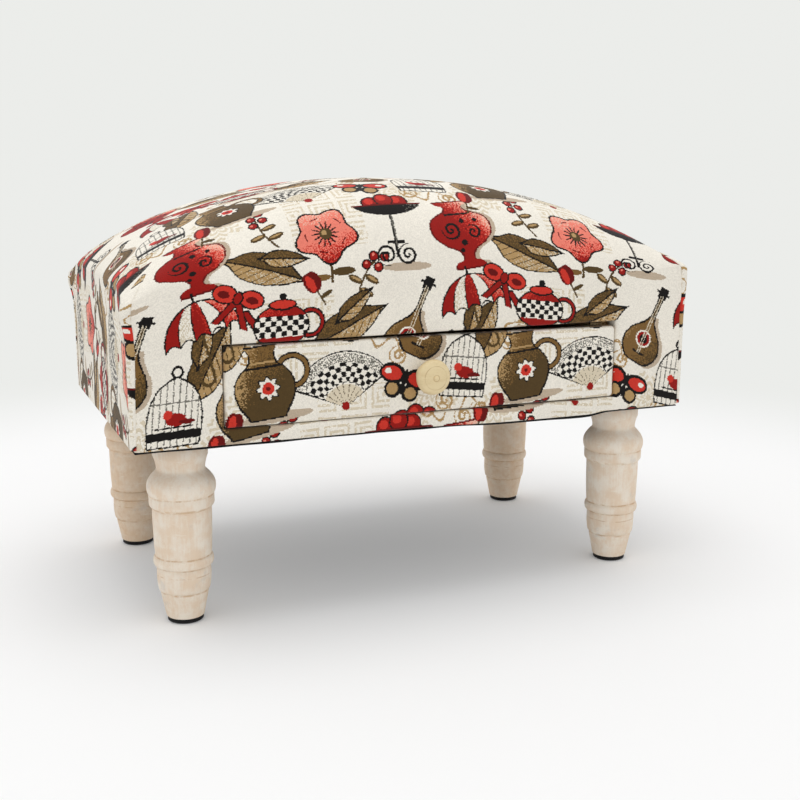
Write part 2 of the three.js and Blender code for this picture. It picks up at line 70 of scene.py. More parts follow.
COVER_LOW, COVER_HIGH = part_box("seat_cover")
FOAM_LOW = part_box("seat_foam")[0]
FRONT_LOW, FRONT_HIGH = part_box("drawer_front_cloth")
KNOB_LOW, KNOB_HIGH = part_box("drawer_knob")
LINING_LOW, LINING_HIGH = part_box("base_lining")
COVER_MIDDLE = (COVER_LOW + COVER_HIGH) / 2
HALF_WIDTH = (COVER_HIGH.x - COVER_LOW.x) / 2
HALF_DEPTH = (COVER_HIGH.y - COVER_LOW.y) / 2
LEG_LOW, LEG_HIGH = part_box("leg_front_left")
LEG_WIDTH = (LEG_HIGH.x - LEG_LOW.x) / 2

# A leg's outline in shares of the collar's radius and the leg's length. An entry of four is a
# curve, as its pull and its end.
LEG_TURNING = (
    (0.527, 0), (0.563, 0, 0.563, 0.008), (0.703, 0.139), (0.69, 0.145), (0.69, 0.15),
    (0.742, 0.157), (0.757, 0.165), (0.812, 0.21, 0.788, 0.288), (0.765, 0.294), (0.85, 0.302),
    (0.918, 0.326, 0.852, 0.35), (0.812, 0.355), (0.826, 0.362), (0.868, 0.5, 0.862, 0.618),
    (0.845, 0.624), (0.9, 0.633), (0.938, 0.643), (0.948, 0.65), (0.948, 0.693), (0.925, 0.7),
    (0.957, 0.707), (1, 0.722, 1, 0.75), (1, 0.79, 0.722, 0.838), (0.706, 0.846),
    (0.706, 0.872, 0.776, 0.912), (0.795, 0.922), (0.795, 0.994), (0.786, 1),
)
# Where the bare wood shows in the leg's grooves, as shares of its length, and how far in mm.
GROOVE_SHARES = ((0.147, 0.9), (0.25, 0.5), (0.296, 0.8), (0.356, 0.7), (0.632, 1.3), (0.7, 0.9))
GROOVE_LEVELS = [
    ((LEG_LOW.z + share * (LEG_HIGH.z - LEG_LOW.z)) / MM, half) for share, half in GROOVE_SHARES
]
# The bores' radii and depths, for the glide's pin, the leg's bolt and the knob's screw.
PIN_BORE = (1.9 * MM, 12.3 * MM)
BOLT_BORE = (4.3 * MM, 40 * MM)
SCREW_BORE = (2.3 * MM, 11 * MM)
# How uneven a hand-rubbed leg is: the two waves of its surface, their height, how far it is worn
# down, and the radius inside which it is a bore.
LEG_WAVES = (9 * MM, 3 * MM)
LEG_UNEVEN = 0.12 * MM
LEG_WORN = 0.1 * MM
LEG_CORE = 6 * MM
# The glide's disc, its pin's radius and its rounded edge.
GLIDE_DISC = 3 * MM
GLIDE_PIN = 1.6 * MM
GLIDE_EDGE = 0.8 * MM
TURNING_SIDES = 96
GLIDE_SIDES = 64
# The knob's outline in shares of its radius and its reach.
KNOB_TURNING = (
    (0.62, 0), (0.42, 0.3, 0.8, 0.42), (1.16, 0.6, 0.86, 0.84), (0.5, 0.93, 0.14, 0.93), (0.14, 1, 0, 1),
)
# Darker rings painted on the knob's face, by their radius in mm: painted shade round the pip's foot and at
# the face's edge.
KNOB_SHADE_RINGS = (2.1, 7.8)

# The powers that shape the dome from left to right and from front to back.
DOME_ACROSS = (2.07, 0.744)
DOME_DEEP = (4.38, 0.561)
# The simulated net of the dome: its rows, the rows of the sides that the box holds, its moments.
NET_ROWS = 28
HELD_ROWS = 4
MOMENTS = 20
# Reach, level and height of the gathers at the dome's corners, and how far down they hang.
GATHER_REACH = 17 * MM
GATHER_LEVEL = 9 * MM
GATHER_HEIGHT = 15 * MM
HANG_REACH = 28 * MM
# Where the puckers of the sides fade out above and below, and how wide they are.
PUCKER_TOP = 25 * MM
PUCKER_FOOT = 10 * MM
PUCKER_WIDTH = 34 * MM
# How far the opening's tilted upper edge bends the cloth beside it and above it.
TILT_REACH = (12 * MM, 9 * MM)
# The hanging cloth under the drawer: where its droop begins and where it ends, each with the
# length that it takes, and how far above the sill it starts.
DROOP_START = (-20 * MM, 90 * MM)
DROOP_END = (138 * MM, 16 * MM)
DROOP_HEIGHT = (4 * MM, 10 * MM)
# Steps of a rounded corner or edge in the cloth's mesh, and the turns in degrees of its lower lip.
CORNER_STEPS = 4
LIP_TURNS = (30, 60, 90)
HEM_STEPS = 3
TURN_IN_SHARES = (0.4, 0.7, 1)
SLACK = 0.1 * MM
FOAM_GAP = 0.3 * MM
# The flat cloth's point at the middle of the drawer's front and at a pleat's foot.
PRINT_OFFSET = (0.172, 0.088)
PLEAT_OFFSET = (0.14, 0.018)
# The dent at the knob, its radius, how far the front's upper edge hangs at the right, and how wide
# the border behind the front is at each of its mesh lines.
KNOB_DENT = 0.6 * MM
DENT_RADIUS = 14 * MM
FRONT_HANG = 0.9 * MM
BORDER_STEPS = (3 * MM, 9 * MM)
# The pleat's mesh, how proud it stands, how much it narrows and sinks on the dome, and which way
# it leans there.
PLEAT_ROWS, PLEAT_COLUMNS = 44, 10
PLEAT_PROUD = 0.9
PLEAT_NARROWS = 0.6
PLEAT_SINKS = 1.6
PLEAT_EDGE = 1.1
PLEAT_LEAN = (0.35, 0.35, 0.87)
# The angles past which a turning's edges stay sharp.
LEG_CREASE = math.radians(38)
GLIDE_CREASE = math.radians(45)
KNOB_CREASE = math.radians(50)
# The lining: how far a leg holds it, its free edge, the size and depth of its folds, its hem with
# the waves in it, and the mesh's fine border.
LINING_HOLD = 60 * MM
LINING_EDGE = 30 * MM
LINING_FOLDS = (90 * MM, 50 * MM)
LINING_SLACK = 1.6 * MM
LINING_HEM = 5 * MM
LINING_WAVE = 45 * MM
LINING_RIM = 4 * MM
# How soft the boards' edges and the drawer's edges are.
BOARD_EDGE = 0.4 * MM
PLY_EDGE = 0.3 * MM
# The studio: the backdrop's colour, where the floor fades into it, the light that the camera sees
# on the floor, and the lamp's width, place and aim.
BACKDROP = (0.836, 0.845, 0.822)
FLOOR_RADII = (0.5, 1.5, 6)
FLOOR_FADE = (0.45, 0.9)
FLOOR_GLOW = (0.94, 0.95, 0.94)
FLOOR_GLOW_SHARE = 0.11
LAMP_WIDTH = 1.1
LAMP_PLACE = (-0.1, 0, 1.5)
LAMP_AIM = Vector((0, 0, 0.15))


def colour(name, description, red, green, blue):
    """A colour that a user can change, given as it looks on a screen, from 0 to 255."""
    channels = [(value / 255) ** 2.2 for value in (red, green, blue)]
    return FloatVectorProperty(
        name=name, description=description, subtype="COLOR", size=3, min=0, max=1, default=channels,
    )


def length(name, description, millimetres):
    """A length that a user can change, in metres."""
    return FloatProperty(
        name=name, description=description, unit="LENGTH", precision=5, default=millimetres * MM,
    )


class CoverSizes(bpy.types.PropertyGroup):
    """The shape of the padded top and of the cloth drawn over the box."""

    pad_edge: length("Pad Edge", "Upright edge of the foam under the dome's foot", 9.7)
    cloth: length("Cloth", "Thickness of the tapestry cloth", 1.2)
    corner: length("Corner Radius", "Roundness of the box's upright corners", 4.5)
    lip: length("Lip Radius", "Roundness of the cloth where it turns over an edge", 1.6)
    turn_in: length("Turn-in", "Depth of the cloth turned into the drawer opening", 12)
    hem: length("Hem", "Width of the cloth folded under the box", 15)
    gap_side: length("Side Gap", "Opening beside the drawer's front", 0.8)
    gap_above: length("Top Gap", "Opening above the drawer's front", 2)
    gap_below: length("Lower Gap", "Opening below the drawer's front", 0.5)
    pucker: length("Pucker", "Height of the soft unevenness of the drawn cloth", 0.6)
    bunch: length("Bunch", "How far the gathered cloth stands out at the dome's left corners", 4.6)
    slump: length("Slump", "How far the dome's left corners hang down", 8.5)
    ear: length("Ear", "How far the cloth stands out at the dome's right corners", 1.3)
    lift: length("Lift", "How far the dome's right corners are pulled up", 2.4)
    tilt: length("Tilt", "How far the opening's upper edge runs up to the right", 0.75)
    droop: length("Droop", "How far the cloth under the drawer hangs down at its right", 1.8)
    spacing: length("Mesh Spacing", "Distance between the cloth's mesh lines", 4.4)
    cap: length("Largest Move", "How far the simulated cloth may move from its drawn shape", 5)
    pressure: FloatProperty(name="Pressure", description="Pressure of the pad under the cloth", default=4)
    pleat_foot: length("Pleat Foot", "Width of a corner's pleat at the box's lower edge", 4)
    pleat_top: length("Pleat Top", "Width of a corner's pleat at the dome's foot", 9)
    pleat_reach: length("Pleat Reach", "How far a corner's pleat runs out on the dome", 24)


class TapestryColours(bpy.types.PropertyGroup):
    """The yarns of the printed tapestry."""

    ground: colour("Ground", "Off-white ground of the cloth", 241, 235, 222)
    beige: colour("Beige", "Tone-on-tone figures", 219, 206, 181)
    taupe: colour("Taupe", "Shadows of the figures", 190, 172, 150)
    grey: colour("Grey", "Mid grey of wires and checks", 120, 117, 108)
    black: colour("Black", "Outlines and scrolls", 24, 21, 20)
    olive: colour("Olive", "Dark olive brown", 84, 66, 38)
    brown: colour("Brown", "Warm brown", 122, 92, 52)
    tan: colour("Tan", "Light side of the brown figures", 178, 145, 98)
    red: colour("Red", "Deep red", 150, 26, 20)
    maroon: colour("Maroon", "Shaded red", 104, 18, 16)
    scarlet: colour("Scarlet", "Bright red", 205, 56, 44)
    coral: colour("Coral", "Coral pink", 236, 128, 110)
    pink: colour("Pink", "Pale pink", 243, 190, 168)


class TapestrySizes(bpy.types.PropertyGroup):
    """The repeat of the print and the scale of the weave."""

    repeat_width: length("Repeat Width", "Width of the print's repeat", 184)
    repeat_height: length("Repeat Height", "Height of the print's repeat", 154)
    stitch: length("Stitch", "Width and height of one stitch of the print", 0.6)
    rib: length("Rib", "Distance between the ribs of the weave", 0.75)


class WoodColours(bpy.types.PropertyGroup):
    """The colours of the woods."""

    lime: colour("Lime", "White wax left on the legs", 238, 228, 213)
    limed: colour("Limed Wood", "Wood of the legs under thin wax", 229, 208, 184)
    # Rubbed Wood is also painted on the back legs as painted shade.
    rubbed: colour("Rubbed Wood", "Pinkish wood where the wax is rubbed off", 214, 182, 147)
    smoky: colour("Smoky Wax", "Grey clouds in the wax", 200, 194, 188)
    groove: colour("Groove", "Bare wood in the legs' grooves", 194, 155, 112)
    knob: colour("Knob", "Waxed pale wood of the knob", 226, 206, 162)
    knob_grain: colour("Knob Grain", "Darker rings of the knob", 206, 180, 132)
    ply: colour("Ply", "Birch ply of the drawer", 214, 188, 146)
    ply_grain: colour("Ply Grain", "Darker grain of the birch ply", 178, 142, 98)
    board: colour("Board", "Pine of the box's boards", 196, 160, 112)
    # Board Grain also colours the painted shade rings on the knob.
    pine_grain_and_knob_shade: colour("Board Grain", "Darker grain of the pine", 150, 106, 62)


class StudioSettings(bpy.types.PropertyGroup):
    """The camera at the photograph's place, the lights and the floor."""

    camera_place: FloatVectorProperty(
        name="Camera", description="Place of the lens", subtype="TRANSLATION", unit="LENGTH",
        precision=4, default=(-0.3145, -0.8051, 0.2949),
    )
    camera_turn: FloatVectorProperty(
        name="Camera Turn", description="The camera's rotation", subtype="EULER", unit="ROTATION",
        default=(math.radians(78.6), math.radians(-0.14), math.radians(-22.67)),
    )
    lens: FloatProperty(
        name="Lens", description="Focal length on a 36 mm sensor", unit="CAMERA", default=52.33,
    )
    floor: colour("Floor", "Pale floor and backdrop", 247, 247, 247)
    sky: FloatProperty(name="Sky", description="Strength of the even light", default=0.845)
    top_light: FloatProperty(name="Top Light", description="Watts of the large light overhead", default=6.4)


class Sketch:
    """Builds a material's nodes. Each method adds a node and hands back its output socket."""

    def __init__(self, name):
        self.material = bpy.data.materials.new(name)
        self.material.use_nodes = True
        self.tree = self.material.node_tree
        self.shader = self.tree.nodes["Principled BSDF"]

    def node(self, kind, *values, **settings):
        """A node with its settings, and with its inputs set or linked in order."""
        made = self.tree.nodes.new(kind)
        for name, value in settings.items():
            setattr(made, name, value)
        for socket, value in zip(made.inputs, values):
            self.put(value, socket)
        return made

    def put(self, value, socket):
        """Links a socket to another, or sets its own value. None leaves it as it is."""
        if value is None:
            return
        if isinstance(value, bpy.types.NodeSocket):
            self.tree.links.new(value, socket)
        elif socket.type == "RGBA" and len(value) == 3:
            socket.default_value = (*value, 1)
        else:
            socket.default_value = value

    def math(self, operation, *values):
        return self.node("ShaderNodeMath", *values, operation=operation).outputs[0]

    def times(self, *values):
        return self.math("MULTIPLY", *values)

    def plus(self, *values):
        return self.math("ADD", *values)

    def less(self, value, taken):
        return self.math("SUBTRACT", value, taken)

    def grown(self, value, factor, added):
        """A value times a factor, and then something added."""
        return self.math("MULTIPLY_ADD", value, factor, added)

    def size(self, value):
        """A value without its sign."""
        return self.math("ABSOLUTE", value)

    def rest(self, value):
        """What a value has past the whole number below it."""
        return self.math("FRACT", value)

    def under(self, value, limit):
        return self.math("LESS_THAN", value, limit)

    def over(self, value, limit):
        return self.math("GREATER_THAN", value, limit)

    def near(self, value, middle, reach):
        """Where a value is within reach of a middle one."""
        return self.math("COMPARE", value, middle, reach)

    def vector(self, operation, *values):
        made = self.node("ShaderNodeVectorMath", *values, operation=operation)
        scalar = operation in ("LENGTH", "DISTANCE", "DOT_PRODUCT")
        return made.outputs[1 if scalar else 0]

    def scaled(self, vector, factors):
        return self.vector("MULTIPLY", vector, factors)

    def part(self, vector, axis):
        """One part of a vector, 0 for X, 1 for Y and 2 for Z. A Separate XYZ node keeps room for
        all three, used or not, and a material as large as the print runs out of it."""
        return self.vector("DOT_PRODUCT", vector, [float(axis == other) for other in range(3)])

    def scale(self, vector, factor):
        """A vector times a number."""
        made = self.node("ShaderNodeVectorMath", vector, operation="SCALE")
        self.put(factor, made.inputs["Scale"])
        return made.outputs[0]

    def point(self, x, y):
        """A point from its parts. It is built like the other vectors, so that Cycles needs no
        conversion and can finish one figure of the print after the other."""
        return self.vector("ADD", self.scale((1, 0, 0), x), self.scale((0, 1, 0), y))

    def mix(self, share, first, second):
        """The first colour where the share is 0, the second where it is 1."""
        made = self.node("ShaderNodeMix", data_type="RGBA")
        self.put(share, made.inputs["Factor"])
        self.put(first, made.inputs[6])
        self.put(second, made.inputs[7])
        return made.outputs[2]

    def blotches(self, vector, scale, detail=2, roughness=0.5):
        """Noise from 0 to 1 with blotches about one unit of 1 / scale wide."""
        made = self.node("ShaderNodeTexNoise", noise_dimensions="3D")
        inputs = {"Vector": vector, "Scale": scale, "Detail": detail, "Roughness": roughness}
        for name, value in inputs.items():
            self.put(value, made.inputs[name])
        return made.outputs["Fac"]

    def ramp(self, value, low, high, to_low=0, to_high=1, smooth=True):
        """The value carried from one range to another and held at its ends."""
        made = self.node("ShaderNodeMapRange", value, low, high, to_low, to_high)
        made.interpolation_type = "SMOOTHSTEP" if smooth else "LINEAR"
        return made.outputs[0]

    def curve(self, value, points):
        """A height that follows a smooth curve through points whose places run from 0 to 1."""
        made = self.node("ShaderNodeFloatCurve")
        self.put(value, made.inputs["Value"])
        line = made.mapping.curves[0]
        while len(line.points) < len(points):
            line.points.new(0.5, 0.5)
        for dot, place in zip(line.points, points):
            dot.location = place
        made.mapping.update()
        return made.outputs[0]

    def bump(self, height, distance, strength=1):
        """A normal that follows a height from 0 to 1, which stands for a real distance."""
        made = self.node("ShaderNodeBump")
        self.put(strength, made.inputs["Strength"])
        self.put(distance, made.inputs["Distance"])
        self.put(height, made.inputs["Height"])
        self.tree.links.new(made.outputs[0], self.shader.inputs["Normal"])

    def either(self, *masks):
        """Where any of the masks is."""
        whole = masks[0]
        for mask in masks[1:]:
            whole = self.math("MAXIMUM", whole, mask)
        return whole

    def place(self):
        """The place in the stool's frame, in millimetres."""
        spot = self.node("ShaderNodeTexCoord").outputs["Object"]
        return self.scaled(spot, (1000, 1000, 1000))

    def finish(self, base, roughness, **inputs):
        """Sets the shader's inputs. A plain number goes straight on its socket."""
        self.put(base, self.shader.inputs["Base Color"])
        self.put(roughness, self.shader.inputs["Roughness"])
        for name, value in inputs.items():
            self.put(value, self.shader.inputs[name.replace("_", " ")])
        return self.material


class Tapestry(Sketch):
    """The printed cloth. A figure is drawn in its own millimetres and comes back in each repeat."""

    def __init__(self, name, yarns, sizes):
        super().__init__(name)
        self.yarns = yarns
        self.repeat = Vector((sizes.repeat_width, sizes.repeat_height, 0)) / MM
        flat = self.node("ShaderNodeUVMap", uv_map="cloth").outputs[0]
        self.cloth = self.scaled(flat, (1 / MM, 1 / MM, 0))
        stitch = sizes.stitch / MM
        self.stitches = self.vector("SNAP", self.cloth, (stitch, stitch, 1))
        self.grain = self.node("ShaderNodeTexWhiteNoise", self.stitches).outputs[0]
        self.cloud = self.blotches(self.stitches, 0.09, 3, 0.6)
        ragged = self.point(self.times(self.grain, stitch), self.times(self.cloud, 2 * stitch))
        self.drawn = self.vector("ADD", self.stitches, ragged)
        self.ink = self.yarns.ground[:]
        self.at = self.x = self.y = None

    def figure(self, x, y, turn=0):
        """Starts a figure at a place in the repeat, turned by some degrees."""
        away = self.vector("SUBTRACT", self.drawn, (x, y, 0))
        near = self.vector("WRAP", away, self.repeat / 2, -self.repeat / 2)
        cosine, sine = math.cos(math.radians(turn)), math.sin(math.radians(turn))
        self.x = self.vector("DOT_PRODUCT", near, (cosine, sine, 0))
        self.y = self.vector("DOT_PRODUCT", near, (-sine, cosine, 0))
        self.at = self.point(self.x, self.y)

    def both(self, *masks):
        """Where all the masks are."""
        whole = masks[0]
        for mask in masks[1:]:
            whole = self.times(whole, mask)
        return whole

    def far(self, x=0, y=0):
        """The distance from a point of the figure."""
        return self.vector("DISTANCE", self.at, (x, y, 0))

    def disc(self, x, y, radius):
        return self.under(self.far(x, y), radius)

    def ring(self, x, y, radius, half_line):
        return self.near(self.far(x, y), radius, half_line)

    def oval(self, x, y, half_width, half_height):
        shrunk = self.node(
            "ShaderNodeVectorMath", self.at, (1 / half_width, 1 / half_height, 0),
            (-x / half_width, -y / half_height, 0), operation="MULTIPLY_ADD",
        ).outputs[0]
        return self.under(self.vector("LENGTH", shrunk), 1)

    def block(self, x, y, half_width, half_height):
        across = self.near(self.x, x, half_width)
        return self.both(across, self.near(self.y, y, half_height))

    def turned(self, outline, half_width, low, high, inset=0, shift=0):
        """A figure that is alike on both sides of a line, such as a vase, from its outline."""
        side = self.size(self.less(self.x, shift) if shift else self.x)
        wide = self.grown(side, 1 / half_width, inset / half_width)
        tall = high - low - 2 * inset
        rise = self.grown(self.y, 1 / tall, -(low + inset) / tall)
        figure = self.under(wide, self.curve(rise, outline))
        return self.both(figure, self.near(self.y, (low + high) / 2, (high - low) / 2 - inset))

    def scroll(self, x, y, radius, pitch, hand):
        """A spiral line that winds out from a point, to the left or the right."""
        away = self.vector("SUBTRACT", self.at, (x, y, 0))
        side, up = self.part(away, 0), self.part(away, 1)
        reach = self.vector("LENGTH", away)
        turn = self.math("ARCTAN2", up, side)
        wound = self.grown(turn, hand / math.tau, self.times(reach, 1 / pitch))
        line = self.under(self.rest(wound), 0.42)
        return self.both(line, self.under(reach, radius))

    def petals(self, x, y, count, radius, depth, start=0):
        """A flower's outline with a number of round petals."""
        away = self.vector("SUBTRACT", self.at, (x, y, 0))
        side, up = self.part(away, 0), self.part(away, 1)
        turn = self.grown(self.math("ARCTAN2", up, side), count, start)
        edge = self.grown(self.math("COSINE", turn), depth, radius - depth)
        return self.under(self.vector("LENGTH", away), edge)

    def shade(self, across, up, level, cloudy=0.9):
        """Stitches scattered more and more thickly along a slope over the figure."""
        slope = self.vector("DOT_PRODUCT", self.at, (across, up, 0))
        patchy = self.grown(self.cloud, cloudy, level - cloudy / 2)
        return self.under(self.grain, self.plus(slope, patchy))

    def paint(self, yarn, *masks):
        """Weaves a yarn in where all the masks are."""
        self.ink = self.mix(self.both(*masks), self.ink, getattr(self.yarns, yarn)[:])


URN = ((0, 0.5), (0.06, 0.5), (0.11, 0.22), (0.17, 0.2), (0.34, 0.7), (0.54, 1), (0.66, 0.97), (0.78, 0.6),
       (0.84, 0.36), (0.9, 0.34), (0.97, 0.58), (1, 0.58))
JUG = ((0, 0.6), (0.05, 0.66), (0.3, 0.97), (0.48, 1), (0.66, 0.78), (0.8, 0.46), (0.9, 0.44), (1, 0.66))
LEAF = ((0, 0), (0.12, 0.3), (0.42, 1), (0.7, 0.72), (0.9, 0.2), (1, 0))
CAGE = ((0, 0.96), (0.08, 1), (0.55, 1), (0.8, 0.76), (0.93, 0.42), (1, 0.08))
TULIP = ((0, 0.3), (0.25, 0.9), (0.6, 1), (1, 0.55))
MANDOLIN = ((0, 0.3), (0.1, 0.78), (0.32, 1), (0.54, 0.88), (0.74, 0.5), (0.88, 0.24), (1, 0.14))


def draw_trellis(cloth, x, y, turn=0):
    """A faded patch of nested squares, tone on tone."""
    cloth.figure(x, y, turn)
    side, up = (cloth.math("PINGPONG", value, 10.5) for value in (cloth.x, cloth.y))
    nested = cloth.rest(cloth.math("DIVIDE", cloth.math("MAXIMUM", side, up), 3.6))
    key = cloth.under(nested, 0.45)
    patch = cloth.block(0, 0, 25, 29)
    cloth.paint("beige", patch, key, cloth.shade(0, 0, 0.85))


def draw_medallion(cloth, x, y, turn=0):
    """A round damask ornament of nested petals, tone on tone."""
    cloth.figure(x, y, turn)
    side = cloth.math("ARCTAN2", cloth.y, cloth.x)
    wave = cloth.size(cloth.math("SINE", cloth.times(side, 4)))
    reach = cloth.grown(wave, -4.6, cloth.far())
    nested = cloth.under(cloth.rest(cloth.math("DIVIDE", reach, 5.2)), 0.5)
    cloth.paint("beige", cloth.petals(0, 0, 8, 21, 3), nested)
    cloth.paint("beige", cloth.disc(0, 0, 2.2))


def draw_urn(cloth, x, y, turn=0):
    """A red urn with black scrollwork."""
    cloth.figure(x, y, turn)
    cloth.paint("taupe", cloth.turned(URN, 23, -26, 26, shift=3))
    cloth.paint("maroon", cloth.turned(URN, 23, -26, 26))
    body = cloth.turned(URN, 23, -26, 26, inset=1.2)
    cloth.paint("red", body)
    cloth.paint("scarlet", body, cloth.shade(0.05, 0.03, -0.05))
    cloth.paint("coral", body, cloth.shade(0.07, 0.05, -0.75))
    cloth.paint("pink", body, cloth.shade(0.09, 0.07, -1.6))
    scrolls = cloth.either(cloth.scroll(-8, 2, 7, 4.4, 1), cloth.scroll(8, -1, 5.6, 3.8, -1))
    cloth.paint("black", body, scrolls)
    spots = ((-1, -8, 2.2), (2, 8, 1.9), (-4, -13, 1.6), (12, 8, 1.6))
    cloth.paint("black", body, cloth.either(*(cloth.disc(*spot) for spot in spots)))
    cloth.paint("black", cloth.block(0, 13.6, 9, 0.8))


def draw_poppy(cloth, x, y, turn=0):
    """A coral poppy on a dark stem."""
    cloth.figure(x, y, turn)
    cloth.paint("olive", cloth.block(1, -24, 0.9, 10))
    cloth.paint("olive", cloth.oval(9, -27, 8, 2.8))
    cloth.paint("brown", cloth.oval(-7, -30, 7, 2.4))
    cloth.paint("black", cloth.petals(0, 0, 5, 22.5, 2.6, 1.2))
    flower = cloth.petals(0, 0, 5, 21, 2.6, 1.2)
    cloth.paint("coral", flower)
    cloth.paint("pink", flower, cloth.shade(-0.01, 0.05, -0.3))
    cloth.paint("scarlet", flower, cloth.shade(0.02, -0.06, -0.15))
    cloth.paint("red", flower, cloth.shade(0.02, -0.09, -0.95))
    cloth.paint("maroon", cloth.ring(0, 0, 13.4, 0.5), cloth.petals(0, 0, 5, 18, 9, 2.6))
    cloth.paint("black", cloth.petals(0, 0, 14, 9.5, 4.2))
    cloth.paint("olive", cloth.disc(0, 0, 4.2))
    cloth.paint("tan", cloth.disc(-0.8, 0.9, 1.9))


def draw_leaves(cloth, x, y, turn=0):
    """A long leaf, dark above its rib and tan below, with a smaller one beside it."""
    for low, high, wide, lift in ((-31, 31, 11.5, 0), (-6, 30, 6.5, 15)):
        cloth.figure(x, y, turn + lift)
        cloth.x, cloth.y = cloth.y, cloth.x
        whole = cloth.turned(LEAF, wide, low, high, shift=lift / 2)
        cloth.paint("black", whole)
        inner = cloth.turned(LEAF, wide, low, high, inset=0.8, shift=lift / 2)
        cloth.paint("olive", inner)
        cloth.paint("brown", inner, cloth.shade(-0.004, 0.01, 0.3))
        below = cloth.under(cloth.x, lift / 2)
        cloth.paint("tan", inner, below)
        cloth.paint("beige", inner, below, cloth.shade(0.01, 0, 0.12))
        slant = cloth.grown(cloth.size(cloth.x), 1.1, cloth.y)
        veins = cloth.under(cloth.rest(cloth.math("DIVIDE", slant, 6.2)), 0.13)
        cloth.paint("olive", inner, veins)
        cloth.paint("black", whole, cloth.near(cloth.x, lift / 2, 0.55))


def draw_jug(cloth, x, y, turn=0):
    """A brown jug with a round handle and a red rosette."""
    cloth.figure(x, y, turn)
    cloth.paint("taupe", cloth.oval(6, -23, 24, 3.4))
    cloth.paint("black", cloth.ring(19, 5, 10, 2.1))
    cloth.paint("brown", cloth.ring(19, 5, 10, 1.2))
    cloth.paint("black", cloth.turned(JUG, 20, -24, 24))
    body = cloth.turned(JUG, 20, -24, 24, inset=1)
    cloth.paint("olive", body)
    cloth.paint("brown", body, cloth.shade(-0.02, 0.03, 0.25))
    cloth.paint("tan", body, cloth.shade(-0.09, 0.03, -0.75))
    cloth.paint("black", body, cloth.near(cloth.y, 10, 0.7))
    cloth.paint("tan", body, cloth.near(cloth.y, 13, 0.6))
    cloth.paint("black", cloth.petals(2, -4, 8, 8.4, 1.2))
    cloth.paint("ground", cloth.petals(2, -4, 8, 7.4, 1.2))
    cloth.paint("scarlet", cloth.disc(2, -4, 4))
    cloth.paint("maroon", cloth.disc(2, -4, 1.4))


def draw_fan(cloth, x, y, turn=0):
    """A folding fan in black and white checks with a lace edge."""
    cloth.figure(x, y, turn)
    reach = cloth.far(0, -18)
    spoke = cloth.math("ARCTAN2", cloth.x, cloth.plus(cloth.y, 18))
    open_part = cloth.near(spoke, 0, 1.08)
    cloth.paint("black", open_part, cloth.near(reach, 20, 17.4))
    inner = cloth.near(spoke, 0, 1.04)
    cloth.paint("ground", inner, cloth.near(reach, 20, 16.6))
    cloth.paint("beige", inner, cloth.near(reach, 9.5, 6))
    rows = cloth.math("SINE", cloth.times(reach, math.pi / 3.4))
    columns = cloth.math("SINE", cloth.times(spoke, 22))
    checks = cloth.over(cloth.times(rows, columns), 0)
    cloth.paint("black", inner, checks, cloth.near(reach, 23, 6.8))
    lace = cloth.both(inner, cloth.shade(0, 0, 0.55), cloth.near(reach, 33, 3))
    cloth.paint("grey", lace)
    ribs = cloth.under(cloth.rest(cloth.times(spoke, 3.5)), 0.1)
    cloth.paint("olive", inner, ribs, cloth.under(reach, 16))
    cloth.paint("red", cloth.disc(0, -17, 2.8))


def draw_stand(cloth, x, y, turn=0):
    """A wrought-iron stand on scrolled feet with a black bowl of red fruit."""
    cloth.figure(x, y, turn)
    cloth.paint("taupe", cloth.oval(6, -28, 17, 2.8))
    feet = cloth.either(cloth.scroll(-7.4, -20, 7.2, 3.9, -1), cloth.scroll(7.4, -20, 7.2, 3.9, 1))
    cloth.paint("black", feet)
    iron = cloth.either(cloth.block(0, -3, 1, 19), cloth.block(0, -11.5, 6, 1.1))
    cloth.paint("black", iron)
    cloth.paint("grey", cloth.block(0.3, 0, 0.35, 14))
    for place, lift in ((-10, 0), (9, 0.6), (-0.5, 3)):
        cloth.paint("black", cloth.disc(place, 21 + lift, 7))
        cloth.paint("red", cloth.disc(place, 21 + lift, 6))
        cloth.paint("scarlet", cloth.disc(place - 1.2, 22.5 + lift, 3.2))
    bowl = cloth.both(cloth.oval(0, 20, 24, 11), cloth.under(cloth.y, 19))
    cloth.paint("black", bowl)
    cloth.paint("grey", bowl, cloth.shade(0.035, 0, -0.35))
    cloth.paint("maroon", cloth.block(0, 18.6, 24.4, 0.7))


def draw_cage(cloth, x, y, turn=0):
    """A bird cage with a red bird on its perch."""
    cloth.figure(x, y, turn)
    cloth.paint("black", cloth.ring(0, 25, 3.2, 0.8))
    cloth.paint("black", cloth.turned(CAGE, 17, -21, 22))
    inside = cloth.turned(CAGE, 17, -21, 22, inset=0.9)
    cloth.paint("ground", inside)
    bars = cloth.under(cloth.rest(cloth.grown(cloth.x, 0.25, 0.5)), 0.18)
    cloth.paint("grey", inside, bars)
    cloth.paint("grey", inside, cloth.near(cloth.y, 6.5, 0.5))
    cloth.paint("black", inside, cloth.near(cloth.y, -13.5, 2.6))
    cloth.paint("red", cloth.oval(1, -4, 6.4, 4))
    cloth.paint("scarlet", cloth.disc(-4.4, -0.8, 2.8))
    cloth.paint("maroon", cloth.oval(8, -5.6, 5, 1.4))
    cloth.paint("black", cloth.block(0, -8.6, 12, 0.5))


def draw_butterfly(cloth, x, y, turn=0):
    """A butterfly with black wings and red spots."""
    cloth.figure(x, y, turn)
    cloth.at = cloth.point(cloth.size(cloth.x), cloth.y)
    cloth.paint("black", cloth.oval(9.5, 4, 9.6, 6.8))
    cloth.paint("scarlet", cloth.oval(10, 4, 7.4, 4.6))
    cloth.paint("ground", cloth.oval(13, 4.8, 2.4, 1.8))
    cloth.paint("black", cloth.oval(6.4, -6, 6.2, 6))
    cloth.paint("tan", cloth.oval(6.8, -6, 4.2, 4))
    cloth.paint("black", cloth.oval(0, 0, 1.5, 9))


